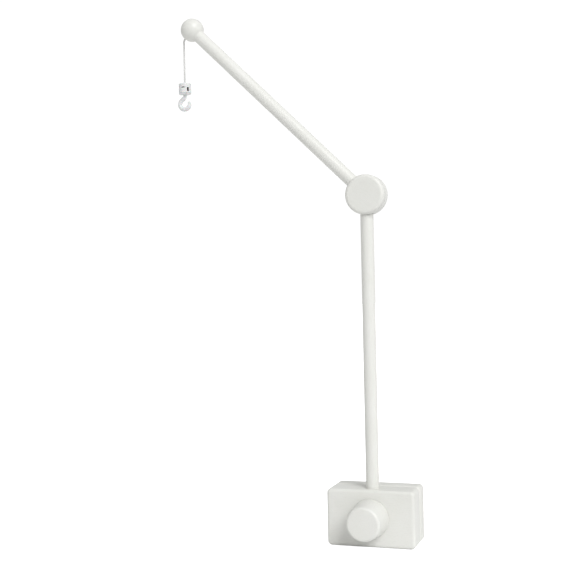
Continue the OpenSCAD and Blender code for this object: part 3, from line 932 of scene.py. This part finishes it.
def slot_cutter(turn, top, width, height, depth=3.25 * MM):
    """A box with notched edges that cuts into the swivel's wall, at a turn from straight ahead."""
    place = Matrix.Translation((hang_x, pivot.y, swivel_top - top - height / 2))
    place = place @ Matrix.Rotation(math.radians(turn), 4, "Z")
    place = place @ Matrix.Translation((0, depth - swivel_radius - CUTTER_LENGTH / 2, 0))
    shape = Matrix.Diagonal((width, CUTTER_LENGTH, height, 1))
    ease = min(0.5 * MM, width / 3, height / 3)
    return wear(box_piece("cutter", shape, ease, 4, profile=0, place=place), white_plastic)


cup = [(1.6 * MM, swivel_top - TOP), (1.6 * MM, swivel_top - 0.5 * MM)]
cup += arc(2.1 * MM, swivel_top - 0.5 * MM, 0.5 * MM, 180, 90, 5)
cup += arc(swivel_radius - 1.0 * MM, swivel_top - 1.0 * MM, 1.0 * MM, 90, 0, 8)
cup += [(swivel_radius, swivel_low.z + 0.25 * MM), (swivel_radius - 0.25 * MM, swivel_low.z)]
cup += [(swivel_radius - WALL, swivel_low.z), (swivel_radius - WALL, swivel_top - TOP)]
swivel_cup = wear(lathe("swivel_cup", cup, swivel_place, closed=True), white_plastic)
cut(
    swivel_cup,
    slot_cutter(54, 5.9 * MM, 3.3 * MM, 6.0 * MM),
    slot_cutter(3, 5.1 * MM, 4.6 * MM, 1.7 * MM),
    slot_cutter(24, 5.35 * MM, 3.6 * MM, 1.1 * MM, 0.8 * MM),
    slot_cutter(17, 0.9 * MM, 0.24 * MM, 12.6 * MM, 0.1 * MM),
)
fit(swivel_cup, "pendant", "white_plastic", "swivel_housing")

rim, spigot, flange_top = swivel_radius, swivel_radius - WALL - 0.05 * MM, cap_bottom + 1.4 * MM
cap = [(3.11 * MM, cap_top), (3.11 * MM, cap_bottom + 0.4 * MM)]
cap += arc(3.51 * MM, cap_bottom + 0.4 * MM, 0.4 * MM, 180, 270, 5)
cap += arc(rim - 1.1 * MM, cap_bottom + 1.1 * MM, 1.1 * MM, 270, 360, 10)
cap += [(rim, flange_top - 0.15 * MM), (rim - 0.15 * MM, flange_top), (spigot, flange_top), (spigot, cap_top)]
swivel_lid = turned(
    "swivel_lid", cap, swivel_place, white_plastic, "pendant", "white_plastic", "swivel_cap", closed=True)

bush_bottom, bush_top = (corner.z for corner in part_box("swivel_bush"))
bush_radius = size("swivel_bush").x / 2
bush_bore, bush_ease = bush_radius - 1.4 * MM, bush_radius - 0.2 * MM
bush = [(bush_bore, bush_bottom), (bush_ease, bush_bottom), (bush_radius, bush_bottom + 0.2 * MM)]
bush += [(bush_radius, bush_top - 0.2 * MM), (bush_ease, bush_top), (bush_bore, bush_top)]
# The lining is the swivel's bush, made near black as painted shade for the dark inside the swivel's window.
turned("swivel_lining", bush, swivel_place, bush_painted_shade_black, "pendant", "bearing_black", "swivel_bush", closed=True)
refinish("swivel_washer", zinc)

# %% [markdown]
# ## The ball
#
# A turned ball closes the arm's end and carries the cord. On the lathe it is one outline, a
# half circle, spun about the arm's axis, with a small hollow neck where paint and filler
# have run into the joint. Then it is drilled as the real one is: a socket for the arm, a fine
# bore across it, a wider hole for the knot, and a flared mouth below, so that the cord
# doesn't rub on a sharp edge.

# %% The ball
def bored(place, radius, depth, flare=0.0):
    """A drill whose hole shows bare wood."""
    return wear(drill(place, radius, depth, flare), beech_inside)


NECK = 2.6 * MM
neck_out, neck_far = dowel_radius + NECK, ball_radius + NECK
neck_down = -math.sqrt(neck_far ** 2 - neck_out ** 2)
neck_turn = math.degrees(math.atan2(neck_down, neck_out))
ball_outline = [(0, neck_down)] + arc(neck_out, neck_down, NECK, 180, 180 + neck_turn, 8)
ball_outline += arc(0, 0, ball_radius, neck_turn, 90, 60)[1:]
ball = wear(lathe("arm_ball", ball_outline, along(ball_centre, arm_way)), paint_arm)
socket = along(ball_centre - arm_way * ball_radius * 1.02, -arm_way)
above, knot_hole, below = (
    along(ball_centre + way * (ball_radius - depth * MM), way)
    for way, depth in ((across_arm, 0), (across_arm, 0.35), (-across_arm, 0.05)))
cut(
    ball,
    bored(socket, dowel_radius + 0.03 * MM, 12.35 * MM),
    bored(above, 1.6 * MM, 2 * ball_radius + MM),
    bored(knot_hole, 4.0 * MM, 6.15 * MM, 0.4 * MM),
    bored(below, 1.62 * MM, 6 * MM, 1.8 * MM),
)
fit(ball, "arm", "painted_wood", "end_ball")

# %% [markdown]
# ## Post and arm
#
# Both are plain 18 mm dowels. At the elbow each is cut back to half its thickness round the
# pivot, so that the post keeps only its rear half and the arm only its front half, and the
# two turn past each other between the discs. A round cutter a hair wider than the disc
# leaves a shoulder that follows the disc's edge at every tilt.

# %% Post and arm
lap_radius = disc_radius + 0.3 * MM
EASE, LAP_GAP, PAST = 0.5 * MM, 0.4 * MM, 40 * MM


def dowel(name, place, length, radius):
    outline = [(0, 0)] + arc(radius - EASE, EASE, EASE, -90, 0, 4)
    rows = max(2, round(length / (8 * MM)))
    outline += [(radius, EASE + (length - 2 * EASE) * i / rows) for i in range(1, rows)]
    outline += arc(radius - EASE, length - EASE, EASE, 0, 90, 4) + [(0, length)]
    return lathe(name, outline, place)


def lap_cutter(front, back):
    outline = [(0, 0), (lap_radius, 0), (lap_radius, back - front), (0, back - front)]
    return wear(lathe("cutter", outline, facing(pivot.x, front, pivot.z)), beech_inside)


post_low, post_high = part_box("post")
post_place = Matrix.Translation((0, pivot.y, post_low.z))
post = dowel("upright_post", post_place, post_high.z - post_low.z, dowel_radius)
cut(wear(post, paint_upright), lap_cutter(pivot.y - PAST, pivot.y + LAP_GAP))
fit(post, "stand", "painted_wood", "post")

arm_start = 11.05 * MM
arm_length = arm_reach - 4.5 * MM - arm_start
arm = dowel("sloping_arm", along(pivot + arm_way * arm_start, arm_way), arm_length, dowel_radius)
cut(wear(arm, paint_arm), lap_cutter(pivot.y - LAP_GAP, pivot.y + PAST))
fit(arm, "arm", "painted_wood", "arm")

# %% [markdown]
# ## The elbow's two discs
#
# The joint is a thick wooden disc split in two like a bun. Each half is turned with a fully
# rolled outer edge and a small ease at the parting line, grooved for its dowel, and drilled
# for the stud. A wood plug hides the nut at the back, so nothing but paint is in view.

# %% The discs
def hole_in(x, z, y, outward, radius, depth, flare=0.0):
    return bored(facing(x, y, z, outward), radius, depth, flare)


def disc(name, face_y, outward, groove_way, thickness, material):
    """One half of the elbow, and the cutter of the groove for its dowel."""
    roll, ease, groove_start = 5 * MM, 0.8 * MM, 11 * MM
    outline = [(0, 0), (disc_radius - ease, 0)] + arc(disc_radius - ease, ease, ease, -90, 0, 5)[1:]
    outline += arc(disc_radius - roll, thickness - roll, roll, 0, 90, 14)
    outline += [(disc_radius - roll - 4 * MM, thickness), (0, thickness)]
    half = wear(lathe(name, outline, facing(pivot.x, face_y, pivot.z, outward)), material)
    groove = along(pivot + groove_way * (groove_start + PAST), groove_way)
    return half, bored(groove, dowel_radius + 0.06 * MM, PAST)


def plug(name, node, x, z, ease, material, body):
    """A painted wood plug with an eased rim, as large as its CAD node."""
    low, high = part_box(node)
    radius, depth = size(node).x / 2, high.y - low.y
    outline = [(0, 0), (radius, 0)] + arc(radius - ease, depth - ease, ease, 0, 90, 5) + [(0, depth)]
    return turned(name, outline, facing(x, low.y, z), material, body, "painted_wood", node)


front_near, front_far = (corner.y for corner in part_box("front_disc"))
rear_near, rear_far = (corner.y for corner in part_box("rear_disc"))
thickness = front_far - front_near
front_disc, groove = disc("front_disc_half", front_far, -INWARD, arm_way, thickness, paint_arm)
cut(front_disc, groove, hole_in(pivot.x, pivot.z, front_far, INWARD, 3.46 * MM, 10 * MM))
fit(front_disc, "arm", "painted_wood", "front_disc")

rear_disc, groove = disc("rear_disc_half", rear_near, INWARD, -UPRIGHT, thickness, paint_upright)
cut(
    rear_disc, groove,
    hole_in(pivot.x, pivot.z, rear_near, -INWARD, 4.56 * MM, 6 * MM),
    hole_in(pivot.x, pivot.z, rear_far, INWARD, 8 * MM, 10 * MM, 0.35 * MM),
)
fit(rear_disc, "stand", "painted_wood", "rear_disc")
plug("pivot_plug", "pivot_cap", pivot.x, pivot.z, 0.4 * MM, paint_upright, "stand")

# %% [markdown]
# ## Screw threads
#
# A thread is a ridge that winds round a rod at an even pitch. Geometry Nodes make it from a
# spiral and a small four-sided profile, sunk halfway into the rod, so that its outer corner
# is the crest. One tree serves the bolt, the stud, the insert and the wood screw.

# %% The thread tree
def thread_tree(material):
    graph, given = size_tree("thread", "Turns", "Radius", "Rise", "Depth")
    radius = given.out("Radius")
    spiral = graph.geo(
        "CurveSpiral", Resolution=28, Rotations=given.out("Turns"), Start_Radius=radius,
        End_Radius=radius, Height=given.out("Rise"))
    spiral = graph.geo("SetCurveNormal", {"mode": "Z_UP"}, Curve=spiral)
    end_tree(graph, graph.tube(spiral, 4, given.out("Depth")), material)
    return graph


zinc_thread, brass_thread = thread_tree(zinc), thread_tree(brass)


def thread(name, tree, place, start, radius, rise, pitch, depth=0.5 * MM):
    """A thread that starts at a height above the place and climbs to a rise."""
    empty, place = bpy.data.meshes.new(name), place @ Matrix.Translation((0, 0, start))
    return grow(name, empty, tree, place, Turns=rise / pitch, Radius=radius - depth, Rise=rise, Depth=depth)


print("thread tree ready")

# %% [markdown]
# ## The pivot's stud, bush and nut
#
# A hanger stud holds the elbow together. Its coarse end is glued in the front disc and turns
# with the arm; its fine end passes the rubber washer, a brass bush and the rear disc, and
# carries a flat washer, a spring washer and a lock nut in the recess behind. They show when
# the plug is out, and each has its own finish.

# %% The stud
stud_near, stud_far = (corner.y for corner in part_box("pivot_stud"))
stud_place = facing(pivot.x, stud_near, pivot.z)
stud_length = stud_far - stud_near
core = [(0, 0), (1.6 * MM, 0), (2.9 * MM, 2.0 * MM), (2.9 * MM, 9.0 * MM), (2.55 * MM, 9.6 * MM)]
core += [(2.55 * MM, stud_length - 0.8 * MM), (1.9 * MM, stud_length), (0, stud_length)]
turned("stud_core", core, stud_place, zinc, "arm", "zinc_steel", "pivot_stud", turns=48)
for name, start, radius, rise, pitch, depth in (
        ("stud_coarse_thread", 2.2 * MM, 3.35 * MM, 6.6 * MM, 1.9 * MM, 0.5 * MM),
        ("stud_fine_thread", 10.4 * MM, 2.96 * MM, stud_length - 11.6 * MM, 1.0 * MM, 0.42 * MM)):
    ridge = thread(name, zinc_thread, stud_place, start, radius, rise, pitch, depth)
    fit(ridge, "arm", "zinc_steel", "pivot_stud")
refinish("friction_washer", rubber)
refinish("pivot_bush", brass)
for node in ("pivot_washer", "spring_washer", "pivot_nut", "knob_washer"):
    refinish(node, zinc)

# %% [markdown]
# ## The clamp blocks
#
# Two blocks of solid beech grip the crib's bars. Their corners are rounded on the saw first
# and the rims of both faces with a router afterwards, so two bevels follow each other here
# too, the wide one and then the narrower one that runs round each face. The holes are
# drilled afterwards: the post's socket, the bolt's hole, two holes for the guide pins, and a
# shallow recess on each inner face for the felt.

# %% The blocks
front_box, back_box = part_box("front_block"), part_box("back_block")
base_height = front_box[1].z
inner_front_y, inner_back_y = front_box[1].y, back_box[0].y
pin_low, pin_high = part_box("guide_pins")
PIN_RADIUS = (pin_high.z - pin_low.z) / 2
pin_z = (pin_low.z + pin_high.z) / 2
pin_centres = [Vector((side * (pin_high.x - PIN_RADIUS), 0, pin_z)) for side in (-1, 1)]
bolt_z = bolt_line.z
POCKET_WIDTH, POCKET_HEIGHT, POCKET_DEPTH = 104 * MM, 60 * MM, 1.3 * MM
SCREW_HEAD_Z = 64 * MM


def rounded_block(name, low, high, material, edge=4.5 * MM, corner=6 * MM):
    return wear(box_piece(name, spanning(low, high), corner, 12, edge), material)


def recess_cutter(y0, y1):
    """The round-cornered recess for a felt pad, between two depths."""
    shape = Matrix.Translation((0, (y0 + y1) / 2, base_height / 2))
    shape = shape @ Matrix.Diagonal((POCKET_WIDTH, y1 - y0, POCKET_HEIGHT, 1))
    return wear(box_piece("cutter", shape, 4 * MM), beech_inside)


front_block = rounded_block("front_jaw_block", *front_box, paint_blocks)
post_socket = along(Vector((0, pivot.y, base_height)), UPRIGHT)
cut(
    front_block,
    bored(post_socket, dowel_radius + 0.06 * MM, 30 * MM, 0.35 * MM),
    hole_in(0, bolt_z, front_box[0].y, -INWARD, 4.3 * MM, 40 * MM),
    recess_cutter(inner_front_y - POCKET_DEPTH, inner_front_y + 1 * MM),
    *[hole_in(c.x, c.z, inner_front_y, INWARD, PIN_RADIUS + 0.08 * MM, 34.5 * MM) for c in pin_centres],
    hole_in(0, SCREW_HEAD_Z, inner_front_y - 1.35 * MM, INWARD, 4.1 * MM, 2.6 * MM),
)
fit(front_block, "stand", "painted_wood", "front_block")

back_block = rounded_block("back_jaw_block", *back_box, paint_blocks)
cut(
    back_block,
    hole_in(0, bolt_z, inner_back_y, -INWARD, 4.06 * MM, 24 * MM),
    hole_in(0, bolt_z, back_box[1].y, INWARD, 11.0 * MM, 9 * MM, 0.35 * MM),
    recess_cutter(inner_back_y - 1 * MM, inner_back_y + POCKET_DEPTH),
    *[hole_in(c.x, c.z, inner_back_y, -INWARD, PIN_RADIUS + 0.06 * MM, 16 * MM) for c in pin_centres],
)
fit(back_block, "jaw", "painted_wood", "back_block")

# %% [markdown]
# ## Felt pads
#
# A pad is cut from 1.6 mm felt with three holes punched through it. Felt has no threads, only
# hairs that lie every way, so a tree scatters short curved hairs over the pad's outer face
# and turns each at random about the face's direction. Their heights stay under the gap that
# is left between the two pads when the jaw is shut.

# %% The felt
def hair_tree():
    graph, given = size_tree("felt_hairs", "Per area", "Hair length", "Hair radius")
    spots = graph.geo("DistributePointsOnFaces", Mesh=given, Density=given.out("Per area"), Seed=7)
    length = given.out("Hair length")
    ends = [graph.add("ShaderNodeCombineXYZ", None, {"X": length * x, "Y": length * y, "Z": length * z})
            for x, y, z in ((-0.5, 0, -0.02), (0.0, 0.28, 0.14), (0.5, 0.05, -0.02))]
    hair = graph.geo("CurveQuadraticBezier", Resolution=4, Start=ends[0], Middle=ends[1], End=ends[2])
    hair = graph.tube(hair, 3, given.out("Hair radius"), False)
    chance = {"data_type": "FLOAT"}
    spin = graph.add("FunctionNodeRandomValue", chance, {"Max": 2 * math.pi, "Seed": 3}, 1)
    turn = graph.add("ShaderNodeCombineXYZ", None, {"Z": spin})
    rotation = graph.add(
        "FunctionNodeRotateRotation", {"rotation_space": "LOCAL"},
        {"Rotation": spots.out("Rotation"), "Rotate By": turn})
    scale = graph.add("FunctionNodeRandomValue", chance, {"Min": 0.6, "Max": 1.3, "Seed": 5}, 1)
    hairs = graph.geo("InstanceOnPoints", Points=spots, Instance=hair, Rotation=rotation, Scale=scale)
    end_tree(graph, hairs, felt)
    return graph


hairs = hair_tree()


def felt_pad(name, node, face_y, outward):
    """A punched pad, and the hairs that grow on the face that looks outward."""
    pad = wear(box_piece(name, spanning(*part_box(node)), 3.8 * MM), felt)
    centres = [Vector((0, 0, bolt_z)), *pin_centres]
    cut(pad, *[wear(drill(facing(c.x, face_y, c.z, outward), 6.5 * MM, 3 * MM), felt) for c in centres])
    top = bmesh.new()
    top.from_mesh(pad.data)
    off = [f for f in top.faces if f.normal.dot(outward) < 0.9]
    bmesh.ops.delete(top, geom=off, context="FACES")
    surface = bpy.data.meshes.new(name)
    top.to_mesh(surface)
    top.free()
    fuzz = grow(name + "_hairs", surface, hairs, Per_area=0.32e6, Hair_length=2.1 * MM, Hair_radius=0.03 * MM)
    return pad, fuzz


for name, node, body, face, outward in (
        ("front_felt", "front_pad", "stand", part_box("front_pad")[1].y, INWARD),
        ("back_felt", "back_pad", "jaw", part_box("back_pad")[0].y, -INWARD)):
    for piece in felt_pad(name, node, face, outward):
        fit(piece, body, "pad_felt", node)

# %% [markdown]
# ## Bolt, plug and guide pins
#
# A carriage bolt holds the jaw. Its square neck is set in the back block so that it can't
# turn, its head is hidden by a painted plug, and its threaded end runs through the front
# block into the knob. Two beech dowels keep the blocks square to each other.

# %% The bolt
bolt_low, bolt_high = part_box("clamp_bolt")
HEAD_RISE, DOME_RADIUS, DOME_REACH, HALF_NECK = 4 * MM, 14.5 * MM, 10.5 * MM, 4 * MM
bearing_y = bolt_high.y - HEAD_RISE
bolt_place = facing(0, bolt_low.y, bolt_z)
reach = bearing_y - bolt_low.y
rod = [(0, 0), (2.7 * MM, 0), (3.42 * MM, 1.0 * MM), (3.42 * MM, 62 * MM), (3.9 * MM, 63 * MM)]
dome_start = math.degrees(math.asin(DOME_REACH / DOME_RADIUS))
dome = arc(0, reach + HEAD_RISE - DOME_RADIUS, DOME_RADIUS, dome_start, 90, 12)
rod += [(3.9 * MM, reach), (9.6 * MM, reach), (9.98 * MM, reach + 0.3 * MM)]
rod += [point for point in dome if point[0] < 9.9 * MM]
turned("bolt_rod", rod, bolt_place, zinc, "jaw", "zinc_steel", "clamp_bolt", turns=72)
bolt_thread = thread(
    "bolt_thread", zinc_thread, bolt_place, 0.9 * MM, 3.97 * MM, 60.5 * MM, 1.25 * MM, 0.55 * MM)
fit(bolt_thread, "jaw", "zinc_steel", "clamp_bolt")
neck_low = Vector((-HALF_NECK, bearing_y - 5 * MM, bolt_z - HALF_NECK))
neck_high = Vector((HALF_NECK, bearing_y + 0.2 * MM, bolt_z + HALF_NECK))
neck = rounded_block("bolt_neck", neck_low, neck_high, zinc, 0.3 * MM, 0.5 * MM)
fit(neck, "jaw", "zinc_steel", "clamp_bolt")
plug("painted_plug", "bolt_plug", 0, bolt_z, 0.5 * MM, paint_blocks, "jaw")

pin_length = pin_high.y - pin_low.y
pin = [(0, 0), (PIN_RADIUS - 0.8 * MM, 0), (PIN_RADIUS, 1.2 * MM), (PIN_RADIUS, pin_length - 1.2 * MM)]
pin += [(PIN_RADIUS - 0.8 * MM, pin_length), (0, pin_length)]
for side, centre in zip(("left", "right"), pin_centres):
    place = facing(centre.x, pin_low.y, centre.z)
    turned(side + "_guide_pin", pin, place, beech_pins, "jaw", "bare_beech", "guide_pins", turns=64)

# %% [markdown]
# ## The screw in the post's foot
#
# A countersunk wood screw runs from the inner face into the foot of the post, so that the post
# can't turn or pull out. It is under the felt, and only its head could ever be seen, so it
# gets a cross recess there and a plain coarse thread.

# %% The screw
screw_low, screw_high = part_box("post_screw")
screw_z = (screw_low.z + screw_high.z) / 2
screw_place = facing(0, screw_low.y, screw_z)
screw_length = screw_high.y - screw_low.y
shank = [(0, 0), (0.4 * MM, 0.2 * MM), (1.35 * MM, 5.5 * MM), (1.35 * MM, 16 * MM), (1.9 * MM, 17 * MM)]
shank += [(1.9 * MM, screw_length - 2.4 * MM), (3.8 * MM, screw_length - 0.3 * MM)]
shank += [(3.95 * MM, screw_length), (0, screw_length)]
wood_screw = wear(lathe("wood_screw", shank, screw_place, turns=48), zinc)
blades = []
for turn in (0, 90):
    shape = Matrix.Translation((0, screw_high.y, screw_z)) @ Matrix.Rotation(math.radians(turn), 4, "Y")
    blades.append(wear(box_piece("cutter", shape @ Matrix.Diagonal((4 * MM, 2.6 * MM, 0.9 * MM, 1))), zinc))
fit(cut(wood_screw, *blades), "stand", "zinc_steel", "post_screw")
coarse = thread("wood_screw_thread", zinc_thread, screw_place, 5.5 * MM, 1.98 * MM, 10.5 * MM, 1.7 * MM)
fit(coarse, "stand", "zinc_steel", "post_screw")

# %% [markdown]
# ## The knob
#
# The knob is a turned cone with a rolled front edge, gripped by the whole hand. It is drilled
# from the back for the bolt's end and for a threaded brass insert, whose coarse outer thread
# bites into the wood. Its back is relieved for a steel washer that rubs on the block.

# %% The knob
knob_low, knob_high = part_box("clamp_knob")
knob_length = knob_high.y - knob_low.y
knob_radius, KNOB_FRONT_RADIUS, ROLL, BACK_EASE = size("clamp_knob").x / 2, 22.9 * MM, 4 * MM, 0.8 * MM
knob_slope = math.degrees(math.atan((knob_radius - KNOB_FRONT_RADIUS) / knob_length))
roll_x = KNOB_FRONT_RADIUS - ROLL + (knob_radius - KNOB_FRONT_RADIUS) * ROLL / knob_length
cone = [(0, 0), (knob_radius - 0.9 * MM, 0)] + arc(knob_radius - 0.9 * MM, BACK_EASE, BACK_EASE, -80, 0, 5)
roll = arc(roll_x, knob_length - ROLL, ROLL, knob_slope, 90, 14)
back_radius, (front_radius, front_height) = cone[-1][0], roll[0]
for i in range(1, 6):
    across, up = (front_radius - back_radius) * i / 6, (front_height - BACK_EASE) * i / 6
    cone.append((back_radius + across, BACK_EASE + up))
cone += roll + [(roll_x - 6 * MM, knob_length), (0, knob_length)]
knob = wear(lathe("clamp_knob_turned", cone, facing(0, knob_high.y, bolt_z, -INWARD)), paint_knob)
cut(knob, *[
    hole_in(0, bolt_z, knob_high.y, INWARD, radius * MM, depth * MM)
    for radius, depth in ((4.6, 36), (5.56, 13.6), (12.3, 1.2))])
fit(knob, "knob", "painted_wood", "clamp_knob")

insert_low, insert_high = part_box("knob_insert")
insert_length = insert_high.y - insert_low.y
insert_place = facing(0, insert_high.y, bolt_z, -INWARD)
shell = [(4.08 * MM, 0.3 * MM), (4.4 * MM, 0), (4.95 * MM, 0), (4.95 * MM, insert_length)]
shell += [(4.4 * MM, insert_length), (4.08 * MM, insert_length - 0.3 * MM)]
turned(
    "insert_shell", shell, insert_place, brass, "knob", "insert_brass", "knob_insert", closed=True, turns=64)
insert_thread = thread(
    "insert_thread", brass_thread, insert_place, 0.8 * MM, 5.45 * MM, insert_length - 1.6 * MM, 2.2 * MM)
fit(insert_thread, "knob", "insert_brass", "knob_insert")

# %% [markdown]
# ## The pieces on the cord
#
# The pieces that hang on the cord below the ball, the knot, the swivel's parts and the hook,
# are gathered in one list.

# %% The pieces on the cord
swivel_pieces = [inner_knot, swivel_cup, swivel_lid, hook, hook_head]
swivel_pieces += [bpy.data.objects[n] for n in ("swivel_lining", "swivel_washer")]

# %% [markdown]
# ## Studio
#
# A plain pale floor and soft light from everywhere keep the white object readable against
# white. One broad sun from the upper right front gives the dowels a brighter side and puts a
# gentle shade left of the knob. The sky gives slightly more light from the right than from
# the left. Sky and floor are both brighter where the camera looks at them than where they
# light the object, as a backdrop behind a lit table is: the sky by its strength, and the
# floor by a glow that only the camera sees.

# %% Studio
def add_floor():
    bm = bmesh.new()
    place = Matrix.Translation((0, 0, -0.4 * MM))
    bmesh.ops.create_circle(bm, cap_ends=True, segments=96, radius=14, matrix=place)
    floor = to_object("studio_floor", bm)
    paper = Finish("pale_paper", Specular_IOR_Level=0.05, Emission_Strength=0.8)
    tone = paper.noise(700, 2, 0.5)
    colour = paper.blend(tone, grey(0.86), grey(0.89))
    glow = paper.blend(paper.add("ShaderNodeLightPath", output="Is Camera Ray"), grey(0), grey(1))
    paper.tree.links.new(glow.socket, paper.shader.inputs["Emission Color"])
    wear(floor, paper.done(colour, 0.9 + tone * 0.1, paper.noise(1.2, 2, 0.5), 0.01, 0.2))
    floor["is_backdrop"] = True


def add_sky(light, lean, shown):
    """A white sky: its light, how the light leans to a side, and how bright the camera sees it."""
    world = bpy.data.worlds.new("soft_box")
    world.use_nodes = True
    bpy.context.scene.world = world
    graph = Graph(world.node_tree)
    seen = graph.add("ShaderNodeLightPath", output="Is Camera Ray")
    way = graph.add("ShaderNodeTexCoord", output="Generated")
    sky = world.node_tree.nodes["Background"]
    sky.inputs["Color"].default_value = grey(1)
    lit = graph.vector("DOT_PRODUCT", way, lean) + light
    strength = lit * (1 - seen) + seen * shown
    graph.tree.links.new(strength.socket, sky.inputs["Strength"])


def add_sun(name, towards, strength, softness):
    data = bpy.data.lights.new(name, "SUN")
    data.energy = strength
    data.angle = math.radians(softness)
    sun = bpy.data.objects.new(name, data)
    sun.matrix_world = Vector(towards).to_track_quat("Z", "Y").to_matrix().to_4x4()
    bpy.context.scene.collection.objects.link(sun)


add_floor()
add_sky(light=0.60, lean=(0.07, 0, 0), shown=1.05)
add_sun("key", (0.56, -0.55, 0.62), 1.8, 30)
bpy.context.scene.view_settings.view_transform = "Standard"
print("studio ready")

# %% [markdown]
# ## Sizes
#
# The size of what was made is printed beside the size of the CAD model, so the two can be
# compared.

# %% Sizes
seen_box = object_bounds()
for kind, corners in (("cad", cad_box), ("visual", seen_box)):
    print(kind, [[round(c * 1000, 1) for c in v] for v in corners])
